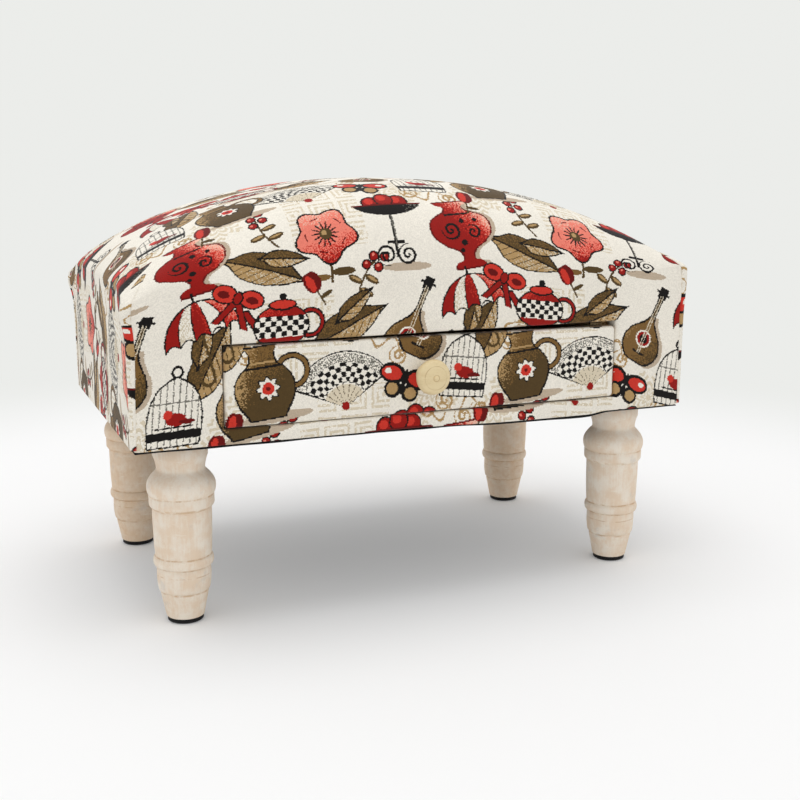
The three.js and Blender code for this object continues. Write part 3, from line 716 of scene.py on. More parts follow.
def draw_tulip(cloth, x, y, turn=0):
    """A small red tulip."""
    cloth.figure(x, y, turn)
    cloth.paint("olive", cloth.block(0, -10, 0.6, 7))
    cloth.paint("olive", cloth.oval(4, -11, 4.4, 1.5))
    cloth.paint("maroon", cloth.turned(TULIP, 5.6, -6, 8))
    cloth.paint("scarlet", cloth.oval(-1.4, 0.6, 2.6, 6))


def draw_umbrella(cloth, x, y, turn=0):
    """A red and white umbrella with a hooked handle."""
    cloth.figure(x, y, turn)
    cloth.paint("olive", cloth.ring(-4, -27, 4, 1), cloth.under(cloth.y, -26))
    cloth.paint("olive", cloth.block(0, -12, 0.9, 15))
    cloth.paint("black", cloth.block(0, 24, 0.8, 4))
    rise = cloth.plus(cloth.y, 2)
    spread = cloth.math("SQRT", cloth.grown(cloth.times(rise, rise), -1, 600))
    wave = cloth.math("COSINE", cloth.times(cloth.math("DIVIDE", cloth.x, spread), 2.5 * math.pi))
    scallop = cloth.times(cloth.size(wave), 3)
    whole = cloth.both(cloth.disc(0, -2, 24.5), cloth.over(rise, scallop))
    cloth.paint("black", whole)
    inner = cloth.both(cloth.disc(0, -2, 23.5), cloth.over(cloth.less(rise, 1), scallop))
    gores = cloth.both(inner, cloth.over(wave, 0.14))
    cloth.paint("red", gores)
    cloth.paint("scarlet", gores, cloth.shade(0.05, 0.03, -0.2))
    cloth.paint("coral", gores, cloth.shade(0.06, 0.05, -1.0))
    between = cloth.both(inner, cloth.under(wave, -0.14))
    cloth.paint("ground", between)
    cloth.paint("beige", between, cloth.shade(-0.04, 0, 0.1))


def draw_teapot(cloth, x, y, turn=0):
    """A teapot with a checkered band and a red lid."""
    cloth.figure(x, y, turn)
    cloth.paint("taupe", cloth.oval(4, -14, 23, 2.8))
    cloth.paint("black", cloth.ring(19, 1, 8, 1.8))
    cloth.paint("red", cloth.ring(19, 1, 8, 0.8))
    slant = cloth.grown(cloth.y, 0.75, cloth.x)
    cloth.paint("black", cloth.near(slant, -16.5, 3.2), cloth.near(cloth.y, 3, 8.4))
    cloth.paint("red", cloth.near(slant, -16.5, 2), cloth.near(cloth.y, 3, 7.4))
    cloth.paint("black", cloth.oval(0, 0, 18.6, 13.6))
    body = cloth.oval(0, 0, 17.6, 12.6)
    cloth.paint("red", body)
    cloth.paint("scarlet", body, cloth.shade(-0.03, 0.06, -0.3))
    cloth.paint("ground", body, cloth.near(cloth.y, -0.4, 6.4))
    rows = cloth.math("SINE", cloth.times(cloth.y, math.pi / 3.2))
    columns = cloth.math("SINE", cloth.times(cloth.x, math.pi / 3.6))
    checks = cloth.over(cloth.times(rows, columns), 0)
    cloth.paint("black", body, checks, cloth.near(cloth.y, 0, 6.4))
    cloth.paint("black", cloth.oval(0, 13, 9.4, 3.6))
    cloth.paint("scarlet", cloth.oval(0, 13.2, 8.2, 2.5))
    cloth.paint("black", cloth.disc(0, 18, 2.4))
    cloth.paint("black", cloth.block(0, -13.6, 9, 1.1))


def draw_mandolin(cloth, x, y, turn=0):
    """A brown mandolin with a red rosette."""
    cloth.figure(x, y, turn)
    cloth.paint("taupe", cloth.turned(MANDOLIN, 16, -25, 13, shift=3))
    cloth.paint("black", cloth.block(0, 19, 2.2, 11))
    cloth.paint("olive", cloth.block(0, 19, 1.2, 10))
    cloth.paint("black", cloth.block(0, 31, 3.4, 4.2))
    cloth.paint("black", cloth.block(0, 31, 5.6, 0.8))
    cloth.paint("black", cloth.turned(MANDOLIN, 16, -25, 13))
    body = cloth.turned(MANDOLIN, 16, -25, 13, inset=1.1)
    cloth.paint("brown", body)
    cloth.paint("olive", body, cloth.shade(0.06, -0.02, -0.2))
    cloth.paint("tan", body, cloth.shade(-0.08, 0.03, -0.6))
    cloth.paint("ground", cloth.disc(0, -6, 6.4))
    cloth.paint("red", cloth.disc(0, -6, 5.2))
    cloth.paint("black", cloth.disc(0, -6, 3.4))
    cloth.paint("black", cloth.block(0, -17, 5, 0.8))
    strings = cloth.near(cloth.size(cloth.x), 0.9, 0.34)
    cloth.paint("beige", strings, cloth.near(cloth.y, 6, 23))


def draw_sprig(cloth, x, y, turn=0):
    """A leafy stem with red berries."""
    cloth.figure(x, y, turn)
    bent_stem = cloth.grown(cloth.times(cloth.y, cloth.y), -0.014, cloth.x)
    cloth.paint("olive", cloth.near(bent_stem, 0, 0.7), cloth.near(cloth.y, 0, 18))
    for across, up in ((6.4, -9), (-4.6, -5), (5.6, 0)):
        cloth.paint("olive", cloth.oval(across, up, 5.4, 2.3))
        cloth.paint("tan", cloth.oval(across, up + 0.5, 3.8, 0.9))
    for across, up in ((-2, 7), (6, 9), (0, 14), (7, 17)):
        cloth.paint("black", cloth.disc(across, up, 3.5))
        cloth.paint("red", cloth.disc(across, up, 2.6))
        cloth.paint("coral", cloth.disc(across - 0.8, up + 0.8, 1))


def draw_bow(cloth, x, y, turn=0):
    """A red ribbon tied in a bow."""
    cloth.figure(x, y, turn)
    side = cloth.size(cloth.x)
    cloth.at = cloth.point(side, cloth.y)
    tail = cloth.grown(cloth.y, 0.6, side)
    low = cloth.near(cloth.y, -9, 7.5)
    cloth.paint("black", cloth.near(tail, 0, 2.9), low)
    cloth.paint("red", cloth.near(tail, 0, 1.9), low)
    cloth.paint("black", cloth.oval(9, 2, 8.4, 6))
    cloth.paint("scarlet", cloth.oval(9, 2, 7.4, 5))
    cloth.paint("maroon", cloth.oval(9.6, 1.6, 4, 2.2))
    cloth.paint("black", cloth.oval(0, 1, 3.4, 4.4))
    cloth.paint("red", cloth.oval(0, 1, 2.4, 3.4))


def draw_vine(cloth, x, y, turn=0):
    """A tan line that winds between two scrolls."""
    cloth.figure(x, y, turn)
    wave = cloth.times(cloth.math("SINE", cloth.times(cloth.x, 0.32)), 5)
    line = cloth.both(cloth.near(cloth.y, wave, 1.1), cloth.near(cloth.x, 0, 17))
    scrolls = cloth.either(cloth.scroll(-12, 6, 7, 4, 1), cloth.scroll(12, -6, 7, 4, 1))
    cloth.paint("tan", cloth.either(line, scrolls), cloth.shade(0, 0, 0.95))


LAYOUT = (
    (draw_trellis, 116, 56, 0),
    (draw_trellis, 90, 120, 0),
    (draw_medallion, 46, 68, 0),
    (draw_medallion, 172, 76, 20),
    (draw_vine, 10, 66, 10),
    (draw_vine, 138, 112, -20),
    (draw_vine, 56, 116, 60),
    (draw_leaves, 70, 18, -24),
    (draw_sprig, 72, 48, 16),
    (draw_urn, 25, 33, 8),
    (draw_poppy, 113, 37, 0),
    (draw_sprig, 136, 6, -30),
    (draw_stand, 160, 38, 0),
    (draw_leaves, 34, 118, 62),
    (draw_cage, 11, 92, -6),
    (draw_fan, 108, 88, 8),
    (draw_jug, 56, 90, 6),
    (draw_butterfly, 151, 84, -18),
    (draw_tulip, 36, 64, -10),
    (draw_mandolin, 168, 124, -24),
    (draw_leaves, 124, 128, 24),
    (draw_umbrella, 30, 136, 14),
    (draw_teapot, 80, 134, -4),
    (draw_tulip, 101, 4, 30),
    (draw_bow, 52, 0, -20),
)


def tapestry_material(yarns, sizes):
    """The print, the stitches' uneven yarn and the ribbed weave."""
    cloth = Tapestry("printed_tapestry", yarns, sizes)
    for draw, x, y, turn in LAYOUT:
        draw(cloth, x, y, turn)
    uneven = cloth.ramp(cloth.grain, 0, 1, 0.88, 1.05, smooth=False)
    worn = cloth.ramp(cloth.blotches(cloth.cloth, 0.02), 0.3, 0.7, 0.97, 1.01)
    shade = cloth.times(uneven, worn)
    base = cloth.scale(cloth.ink, shade)
    turns = cloth.scaled(cloth.cloth, (math.tau * MM / sizes.rib,) * 3)
    across, along = cloth.part(turns, 0), cloth.part(turns, 1)
    ribs = cloth.times(cloth.math("SINE", along), 0.32)
    threads = cloth.times(cloth.math("SINE", cloth.times(across, 0.5)), 0.18)
    weave = cloth.plus(cloth.plus(ribs, threads), cloth.grown(cloth.grain, 0.3, 0.35))
    cloth.bump(weave, 0.00016, 0.5)
    return cloth.finish(base, 0.92, Specular_IOR_Level=0.18, Sheen_Weight=0.12, Sheen_Roughness=0.5)


def limed_wood(woods):
    """Turned wood under a thin coat of white wax, patchy and rubbed, with bare wood in the
    grooves, and with painted shade that turns the back legs warmer and darker."""
    wood = Sketch("limed_wood")
    place = wood.place()
    streaks = wood.blotches(wood.scaled(place, (0.7, 0.7, 0.06)), 1, 4, 0.6)
    pores = wood.blotches(wood.scaled(place, (2.6, 2.6, 0.22)), 1, 2, 0.6)
    clouds = wood.blotches(place, 0.085, 4, 0.6)
    rubbed = wood.blotches(place, 0.3, 3, 0.6)
    waxed = wood.ramp(wood.grown(streaks, 0.35, clouds), 0.52, 0.86)
    base = wood.mix(waxed, woods.limed[:], woods.lime[:])
    # Painted shade: towards the back the legs are mixed more and more towards the warm Rubbed Wood colour,
    # standing for the shade under the stool; on the front legs the same mix gives only small real rubbed
    # patches.
    behind = wood.ramp(wood.part(place, 1), -60, 60, 0.08, 0.7)
    worn = wood.ramp(rubbed, 0.4, 0.75, 0.55, 1)
    base = wood.mix(wood.times(worn, behind), base, woods.rubbed[:])
    smears = wood.blotches(wood.scaled(place, (0.07, 0.07, 0.5)), 1, 3, 0.7)
    base = wood.mix(wood.ramp(smears, 0.6, 0.74, 0, 0.6), base, woods.lime[:])
    smoky = wood.blotches(wood.vector("ADD", place, (40, 0, 0)), 0.06, 4, 0.7)
    base = wood.mix(wood.ramp(smoky, 0.57, 0.72, 0, 0.4), base, woods.smoky[:])
    base = wood.mix(wood.ramp(pores, 0.6, 0.8, 0, 0.35), base, woods.groove[:])
    height = wood.part(place, 2)
    wobble = wood.grown(wood.blotches(place, 0.12, 2), 1.0, -0.5)
    level = wood.plus(height, wobble)
    bare = None
    for groove, half in GROOVE_LEVELS:
        line = wood.ramp(wood.size(wood.less(level, groove)), half, half * 0.3)
        bare = line if bare is None else wood.math("MAXIMUM", bare, line)
    chipped = wood.ramp(wood.blotches(place, 0.16, 3, 0.6), 0.4, 0.62, 0, 0.6)
    base = wood.mix(wood.times(bare, chipped), base, woods.groove[:])
    grain = wood.plus(wood.times(streaks, 0.6), wood.times(pores, -0.4))
    wood.bump(wood.grown(bare, -0.2, grain), 0.0003, 0.4)
    return wood.finish(base, wood.ramp(waxed, 0, 1, 0.6, 0.78), Specular_IOR_Level=0.3)


def plain_wood(name, light, dark, along, scale=1.0, roughness=0.6):
    """Sawn wood with rings and pores that run along one axis, 0 for X, 1 for Y and 2 for Z."""
    wood = Sketch(name)
    stretch = [0.11 * scale] * 3
    stretch[along] = 0.006 * scale
    place = wood.place()
    bend = wood.blotches(wood.scaled(place, stretch), 1, 2)
    rings = wood.rest(wood.times(bend, 9))
    band = wood.math("PINGPONG", rings, 0.5)
    pores_stretch = [1.8] * 3
    pores_stretch[along] = 0.07
    pores = wood.blotches(wood.scaled(place, pores_stretch), 1, 3, 0.7)
    grain = wood.plus(wood.times(band, 0.9), wood.times(pores, 0.5))
    base = wood.mix(wood.ramp(grain, 0.2, 0.85), light, dark)
    wood.bump(grain, 0.0002, 0.4)
    rough = wood.ramp(pores, 0.3, 0.7, roughness, roughness + 0.15)
    return wood.finish(base, rough, Specular_IOR_Level=0.35)


def knob_wood(woods):
    """Pale waxed wood turned across its grain, with a rubbed sheen, and darker rings painted as shade round
    the pip and at the face's edge.
    """
    wood = Sketch("knob_wood")
    place = wood.place()
    rings = wood.blotches(wood.scaled(place, (0.05, 0.12, 0.3)), 1, 3, 0.6)
    fine = wood.blotches(wood.scaled(place, (0.6, 0.6, 3.2)), 1, 3, 0.6)
    grain = wood.plus(wood.times(rings, 0.6), wood.times(fine, 0.4))
    base = wood.mix(wood.ramp(grain, 0.42, 0.72, 0, 0.7), woods.knob[:], woods.knob_grain[:])
    middle = (KNOB_LOW + KNOB_HIGH) / (2 * MM)
    out = wood.vector("DISTANCE", wood.scaled(place, (1, 0, 1)), (middle.x, 0, middle.z))
    # Painted shade: darker rings round the pip and at the edge of the knob's face, in the pine's grain
    # colour, varied in strength by a blotchy noise.
    ring_shade = wood.either(*(wood.ramp(wood.size(wood.less(out, radius)), 0.35, 0.1)
                        for radius in KNOB_SHADE_RINGS))
    worn = wood.ramp(wood.blotches(place, 0.12, 2), 0.35, 0.65, 0.12, 0.5)
    base = wood.mix(wood.times(ring_shade, worn), base, woods.pine_grain_and_knob_shade[:])
    wood.bump(grain, 0.00025, 0.4)
    rough = wood.ramp(fine, 0.3, 0.7, 0.42, 0.58)
    return wood.finish(base, rough, Specular_IOR_Level=0.4, Coat_Weight=0.15)


def black_plastic():
    """Moulded plastic with a fine spark texture and floor dust at its foot."""
    plastic = Sketch("glide_plastic")
    place = plastic.place()
    texture = plastic.blotches(place, 3.5, 2)
    height = plastic.part(place, 2)
    dusty = plastic.times(plastic.ramp(height, 1.6, 0), plastic.blotches(place, 0.5, 3))
    base = plastic.mix(dusty, (0.005, 0.005, 0.006), (0.045, 0.042, 0.04))
    plastic.bump(texture, 0.0001, 0.3)
    return plastic.finish(base, plastic.ramp(texture, 0.3, 0.7, 0.42, 0.6), Specular_IOR_Level=0.2)


def zinc():
    """Zinc-plated steel with a faint haze and turning marks."""
    steel = Sketch("zinc_steel")
    place = steel.place()
    haze = steel.blotches(place, 0.4, 3)
    marks = steel.blotches(steel.scaled(place, (0.3, 0.3, 6)), 1, 2)
    base = steel.mix(haze, (0.5, 0.52, 0.55), (0.68, 0.69, 0.7))
    steel.bump(marks, 0.00005, 0.3)
    return steel.finish(base, steel.ramp(haze, 0.3, 0.7, 0.28, 0.42), Metallic=1.0)


def foam_material():
    """Cream foam with open cells."""
    foam = Sketch("seat_foam")
    place = foam.place()
    cells = foam.node("ShaderNodeTexVoronoi", feature="F1")
    foam.put(place, cells.inputs["Vector"])
    foam.put(0.9, cells.inputs["Scale"])
    reach = cells.outputs["Distance"]
    base = foam.mix(foam.ramp(reach, 0.1, 0.7), (0.62, 0.55, 0.36), (0.86, 0.81, 0.64))
    foam.bump(reach, 0.0006, 0.8)
    return foam.finish(base, foam.ramp(reach, 0, 0.8, 0.98, 0.88), Specular_IOR_Level=0.1)


def lining_material():
    """Thin black bonded cloth, dotted where its fibres are welded."""
    cloth = Sketch("black_lining")
    place = cloth.place()
    turns = cloth.scaled(place, (math.tau / 1.6,) * 3)
    across, along = cloth.part(turns, 0), cloth.part(turns, 1)
    dots = cloth.times(cloth.math("SINE", across), cloth.math("SINE", along))
    welded = cloth.ramp(dots, 0.2, 0.75)
    fibres = cloth.blotches(cloth.scaled(place, (1.4, 0.5, 1)), 1, 4, 0.7)
    base = cloth.mix(cloth.ramp(fibres, 0.3, 0.75), (0.006, 0.006, 0.007), (0.022, 0.022, 0.024))
    cloth.bump(cloth.less(fibres, welded), 0.0002, 0.6)
    return cloth.finish(base, cloth.ramp(welded, 0, 1, 0.92, 0.6), Specular_IOR_Level=0.2, Sheen_Weight=0.1)


def lines(stops, spacing):
    """Mesh lines through all the stops, in equal steps no wider than the spacing between them."""
    places = [stops[0]]
    for start, end in zip(stops, stops[1:]):
        steps = max(1, math.ceil((end - start) / spacing - 1e-6))
        places += [start + (end - start) * step / steps for step in range(1, steps + 1)]
    return places


def mesh_piece(name, places, faces, marks=None):
    """A smooth mesh object. Marks are the places of the faces' corners on the flat cloth."""
    mesh = bpy.data.meshes.new(name)
    mesh.from_pydata([tuple(place) for place in places], [], faces)
    if marks is not None:
        layer = mesh.uv_layers.new(name="cloth")
        layer.data.foreach_set("uv", np.array(marks, np.float32).ravel())
    mesh.shade_smooth()
    piece = bpy.data.objects.new(name, mesh)
    bpy.context.scene.collection.objects.link(piece)
    return piece


def dress(piece, material, body, slot, *replaced):
    """Gives a piece its finish and its body, and hides the nodes that it stands for."""
    piece.data.materials.append(material)
    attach(piece, body)
    if replaced:
        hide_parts(*replaced)
    return piece


def thicken(piece, thickness):
    """Turns a cloth's outer face into a cloth of that thickness, inwards."""
    shell = piece.modifiers.new("thickness", "SOLIDIFY")
    shell.thickness = thickness
    shell.offset = -1
    shell.use_rim = True
    apply_modifiers(piece)


def apply_modifiers(piece):
    """Leaves a piece as the mesh that its modifiers make."""
    seen = bpy.context.evaluated_depsgraph_get()
    final = bpy.data.meshes.new_from_object(piece.evaluated_get(seen), depsgraph=seen)
    piece.modifiers.clear()
    piece.data = final


def bent(outline, steps):
    """The points of an outline. An entry of two numbers is a point, and one of four is the pull
    of a curve and its end."""
    points = []
    for entry in outline:
        if len(entry) == 2:
            points.append(Vector(entry))
            continue
        start, pull, end = points[-1], Vector(entry[:2]), Vector(entry[2:])
        for step in range(1, steps + 1):
            share = step / steps
            points.append(start.lerp(pull, share).lerp(pull.lerp(end, share), share))
    return points


def turned_outline(shares, radius, length, steps):
    """The points of a turning, from its outline in shares of its radius and its length."""
    sizes = (radius, length) * 2
    outline = [tuple(share * size for share, size in zip(entry, sizes)) for entry in shares]
    return [tuple(point) for point in bent(outline, steps)]


def lathe(name, profile, sides, place):
    """A piece turned about the Z axis and then put in its place. The profile runs from the axis
    and back to it, as radius and height, with its outside on the right."""
    places, faces, rings = [], [], []
    for radius, height in profile:
        count = 1 if radius < 1e-9 else sides
        rings.append([len(places) + side % count for side in range(sides + 1)])
        turns = [math.tau * side / sides for side in range(count)]
        places += [(radius * math.cos(turn), radius * math.sin(turn), height) for turn in turns]
    for lower, upper in zip(rings, rings[1:]):
        for side in range(sides):
            corners = (lower[side], lower[side + 1], upper[side + 1], upper[side])
            faces.append(tuple(dict.fromkeys(corners)))
    piece = mesh_piece(name, places, [face for face in faces if len(face) > 2])
    piece.data.transform(place)
    return piece


class Cloth:
    """A cloth mesh: a patch of crossing lines, and its rim carried on over the edges."""

    def __init__(self, xs, ys, place, mark):
        """Lays the patch. For a crossing of the lines, place gives its point in space and mark
        its point on the flat cloth."""
        self.xs, self.ys = xs, ys
        self.faces, self.marks = [], []
        self.places = [Vector(place(x, y)) for y in ys for x in xs]
        right, back = len(xs) - 1, len(ys) - 1
        for j in range(back):
            for i in range(right):
                crossings = [(i, j), (i + 1, j), (i + 1, j + 1), (i, j + 1)]
                self.faces.append([b * len(xs) + a for a, b in crossings])
                self.marks += [mark(xs[a], ys[b]) for a, b in crossings]
        rim = [(i, 0) for i in range(right)] + [(right, j) for j in range(back)]
        rim += [(i, back) for i in range(right, 0, -1)] + [(0, j) for j in range(back, 0, -1)]
        self.rim_steps = rim
        self.rim = [(xs[i], ys[j]) for i, j in rim]
        self.sides = ["front"] * right + ["right"] * back + ["back"] * right + ["left"] * back
        self.ring = [j * len(xs) + i for i, j in rim]
        self.level = 0

    def carry(self, place, mark, level, skip=None):
        """Carries the rim on to its next level, and leaves out the faces for which skip is true."""
        start = len(self.places)
        self.places += [Vector(place(x, y, level)) for x, y in self.rim]
        ring = list(range(start, len(self.places)))
        for step, side in enumerate(self.sides):
            after = (step + 1) % len(self.rim)
            near, far = self.rim[step], self.rim[after]
            if skip and skip(side, near, far, level):
                continue
            self.faces.append([self.ring[step], ring[step], ring[after], self.ring[after]])
            corners = ((near, self.level), (near, level), (far, level), (far, self.level))
            self.marks += [mark(*crossing, side, height) for crossing, height in corners]
        self.ring, self.level = ring, level
        return dict(zip(self.rim, ring))

    def strip(self, inner, outer, mark):
        """Joins two rows of points that run side by side."""
        for step in range(len(inner) - 1):
            corners = (inner[step], inner[step + 1], outer[step + 1], outer[step])
            self.faces.append(list(corners))
            self.marks += [mark(corner) for corner in corners]

    def piece(self, name):
        return mesh_piece(name, self.places, self.faces, self.marks)


def dome_share(across, deep):
    """Height of the dome as a share of its crown, at shares of its half sizes."""
    ridge = max(1 - abs(across) ** DOME_ACROSS[0], 0) ** DOME_ACROSS[1]
    return ridge * max(1 - abs(deep) ** DOME_DEEP[0], 0) ** DOME_DEEP[1]


def rounded(x, y, half_width, half_depth, radius):
    """A point of a rectangle, drawn in where it lies in a corner to make the corner round."""
    over_x = abs(x) - (half_width - radius)
    over_y = abs(y) - (half_depth - radius)
    if over_x <= 0 or over_y <= 0:
        return x, y
    share = max(over_x, over_y) / math.hypot(over_x, over_y)
    return (
        math.copysign(half_width - radius + over_x * share, x),
        math.copysign(half_depth - radius + over_y * share, y),
    )


def smooth(share):
    """A share from 0 to 1 with a soft start and end."""
    return share * share * (3 - 2 * share)


def within(value):
    """A value held between 0 and 1."""
    return min(max(value, 0), 1)


def mirrored(stops):
    """Stops from the middle out, on both sides of the middle."""
    return sorted({-stop for stop in stops} | set(stops))


def edge_lines(half, count):
    """Lines that close up towards both edges."""
    return [half * math.sin((step / count - 0.5) * math.pi) for step in range(count + 1)]


def arcs(xs, ys, height):
    """For each crossing of the lines, the length over the surface from the middle line to it,
    along X and along Y."""
    rise = np.array([[height(x, y) for x in xs] for y in ys])
    lengths = []
    for axis, places in ((1, np.array(xs)), (0, np.array(ys))):
        spread = np.diff(places).reshape((1, -1) if axis else (-1, 1))
        steps = np.hypot(spread, np.diff(rise, axis=axis))
        whole = np.insert(np.cumsum(steps, axis=axis), 0, 0, axis=axis)
        middle = np.take(whole, [int(np.argmin(abs(places)))], axis=axis)
        lengths.append(whole - middle)
    return lengths


class CoverShape:
    """Where the drawn cloth over the pad and the box lies, from the middle of the box."""

    def __init__(self, sizes):
        self.sizes = sizes
        self.shoulder = FOAM_LOW.z + sizes.pad_edge
        self.crown = COVER_HIGH.z - self.shoulder
        self.opening = (FRONT_HIGH.x - FRONT_LOW.x) / 2 + sizes.gap_side
        self.opening_top = FRONT_HIGH.z + sizes.gap_above
        self.sill = FRONT_LOW.z - sizes.gap_below
        self.moves = None

    def settle(self):
        """Lets the pad's pressure fill a net of the cloth, with its sides held as the box holds
        them, and keeps how far each crossing of the net moves."""
        xs = lines(mirrored([0, HALF_WIDTH]), 2 * self.sizes.spacing)
        ys = edge_lines(HALF_DEPTH, NET_ROWS)
        net = Cloth(xs, ys, self.top, lambda x, y: (x, y))
        held_from = len(net.places)
        held_to = self.shoulder - HELD_ROWS * self.sizes.spacing
        for level in lines([held_to, self.shoulder], self.sizes.spacing)[-2::-1]:
            net.carry(self.wall, lambda x, y, side, level: (x, y), level)
        piece = net.piece("net")
        held = piece.vertex_groups.new(name="held")
        held.add(range(held_from + len(net.rim), len(net.places)), 1, "REPLACE")
        held.add(range(held_from, held_from + len(net.rim)), 0.5, "REPLACE")
        stretch = piece.modifiers.new("stretch", "CLOTH").settings
        stretch.quality = 6
        stretch.use_pressure = True
        stretch.uniform_pressure_force = self.sizes.pressure
        stretch.vertex_group_mass = "held"
        stretch.effector_weights.gravity = 0
        for moment in range(1, MOMENTS + 1):
            bpy.context.scene.frame_set(moment)
        apply_modifiers(piece)
        bpy.context.scene.frame_set(1)
        moves = np.array([vertex.co for vertex in piece.data.vertices]) - np.array(net.places)
        size = np.linalg.norm(moves, axis=1, keepdims=True)
        moves *= self.sizes.cap * np.tanh(size / self.sizes.cap) / np.maximum(size, 1e-9)
        bpy.data.objects.remove(piece)
        self.moves = xs, ys, moves[:held_from].reshape(len(ys), len(xs), 3)

    def moved(self, x, y):
        """How far the settled cloth lies from the drawn one, at a place on the dome or its rim."""
        if self.moves is None:
            return Vector((0, 0, 0))
        xs, ys, moves = self.moves
        i = min(max(int(np.searchsorted(xs, x)), 1), len(xs) - 1)
        j = min(max(int(np.searchsorted(ys, y)), 1), len(ys) - 1)
        across = (x - xs[i - 1]) / (xs[i] - xs[i - 1])
        deep = (y - ys[j - 1]) / (ys[j] - ys[j - 1])
        front = moves[j - 1, i - 1] * (1 - across) + moves[j - 1, i] * across
        back = moves[j, i - 1] * (1 - across) + moves[j, i] * across
        return Vector(front * (1 - deep) + back * deep)

    def height(self, x, y):
        return self.crown * dome_share(x / HALF_WIDTH, y / HALF_DEPTH)

    def bunched(self, x, y, height):
        """How far the cloth that is gathered at the dome's nearest corner stands out and hangs."""
        corner = math.hypot(HALF_WIDTH - abs(x), HALF_DEPTH - abs(y)) / GATHER_REACH
        near = math.exp(-corner ** 2)
        above = (height - self.shoulder + GATHER_LEVEL) / GATHER_HEIGHT
        hanging = within(1 - (self.shoulder - height) / HANG_REACH)
        proud, rise = (self.sizes.bunch, -self.sizes.slump) if x < 0 else (self.sizes.ear, self.sizes.lift)
        out = proud * math.sqrt(0.5) * near * math.exp(-above ** 2)
        return Vector((math.copysign(out, x), math.copysign(out, y), rise * near * smooth(hanging)))

    def uneven(self, x, y, height):
        """The soft puckers of the cloth on the upright sides."""
        fade = min((self.shoulder - height) / PUCKER_TOP, (height - COVER_LOW.z) / PUCKER_FOOT, 1)
        out = self.sizes.pucker * max(fade, 0) * noise.noise(Vector((x, y, height)) / PUCKER_WIDTH)
        edge = 0.01 * MM
        return Vector((
            math.copysign(out, x * out) if abs(x) > HALF_WIDTH - edge else 0,
            math.copysign(out, y * out) if abs(y) > HALF_DEPTH - edge else 0,
            0,
        ))

    def raised(self, x, height):
        """How far the opening's upper edge lies above its level."""
        beyond = max(abs(x) - self.opening, 0) / TILT_REACH[0]
        above = (height - self.opening_top) / TILT_REACH[1]
        return self.sizes.tilt * (x / self.opening + 0.05) * math.exp(-beyond ** 2 - above ** 2)

    def lowered(self, x, height):
        """How far the cloth under the drawer hangs down."""
        start = within((x - DROOP_START[0]) / DROOP_START[1])
        end = within((DROOP_END[0] - x) / DROOP_END[1])
        below = within((self.sill + DROOP_HEIGHT[0] - height) / DROOP_HEIGHT[1])
        return self.sizes.droop * smooth(start * end) * smooth(below)

    def top(self, x, y):
        height = self.shoulder + self.height(x, y)
        near = rounded(x, y, HALF_WIDTH, HALF_DEPTH, self.sizes.corner)
        place = Vector((COVER_MIDDLE.x + near[0], COVER_MIDDLE.y + near[1], height))
        return place + self.moved(x, y) + self.bunched(x, y, height)

    def inset(self, x, y, height, inset):
        """A point under the rim, drawn in from the box's outline."""
        wide, deep = HALF_WIDTH - inset, HALF_DEPTH - inset
        x, y = rounded(x * wide / HALF_WIDTH, y * deep / HALF_DEPTH, wide, deep, self.sizes.corner)
        return COVER_MIDDLE.x + x, COVER_MIDDLE.y + y, height

    def hem(self, x, y, height, inset):
        """A point of the cloth folded under the box, which hangs down with the front."""
        place = Vector(self.inset(x, y, height, inset))
        if y <= -HALF_DEPTH:
            place.z -= self.lowered(x, height) * (1 - inset / self.sizes.hem)
        return place

    def wall(self, x, y, height):
        """A point of the upright sides, turned in over a lip at the drawer opening."""
        place = Vector(self.inset(x, y, height, 0)) + self.bunched(x, y, height) + self.uneven(x, y, height)
        loose = (height - self.shoulder) / (HELD_ROWS * self.sizes.spacing) + 1
        if loose > 0:
            place += self.moved(x, y) * loose
        if y > -HALF_DEPTH:
            return place
        place.z += self.raised(x, height) - self.lowered(x, height)
        beyond = math.hypot(
            max(abs(x) - self.opening, 0),
            max(height - self.opening_top, self.sill - height, 0),
        )
        lip = self.sizes.lip
        if beyond < lip:
            place.y += lip - math.sqrt(lip ** 2 - (lip - beyond) ** 2)
        return place

    def in_opening(self, side, near, far, level, above):
        """True for a face of the front wall between two levels that lies in the opening."""
        if side != "front" or max(abs(near[0]), abs(far[0])) > self.opening + SLACK:
            return False
        return above < self.opening_top + SLACK and level > self.sill - SLACK


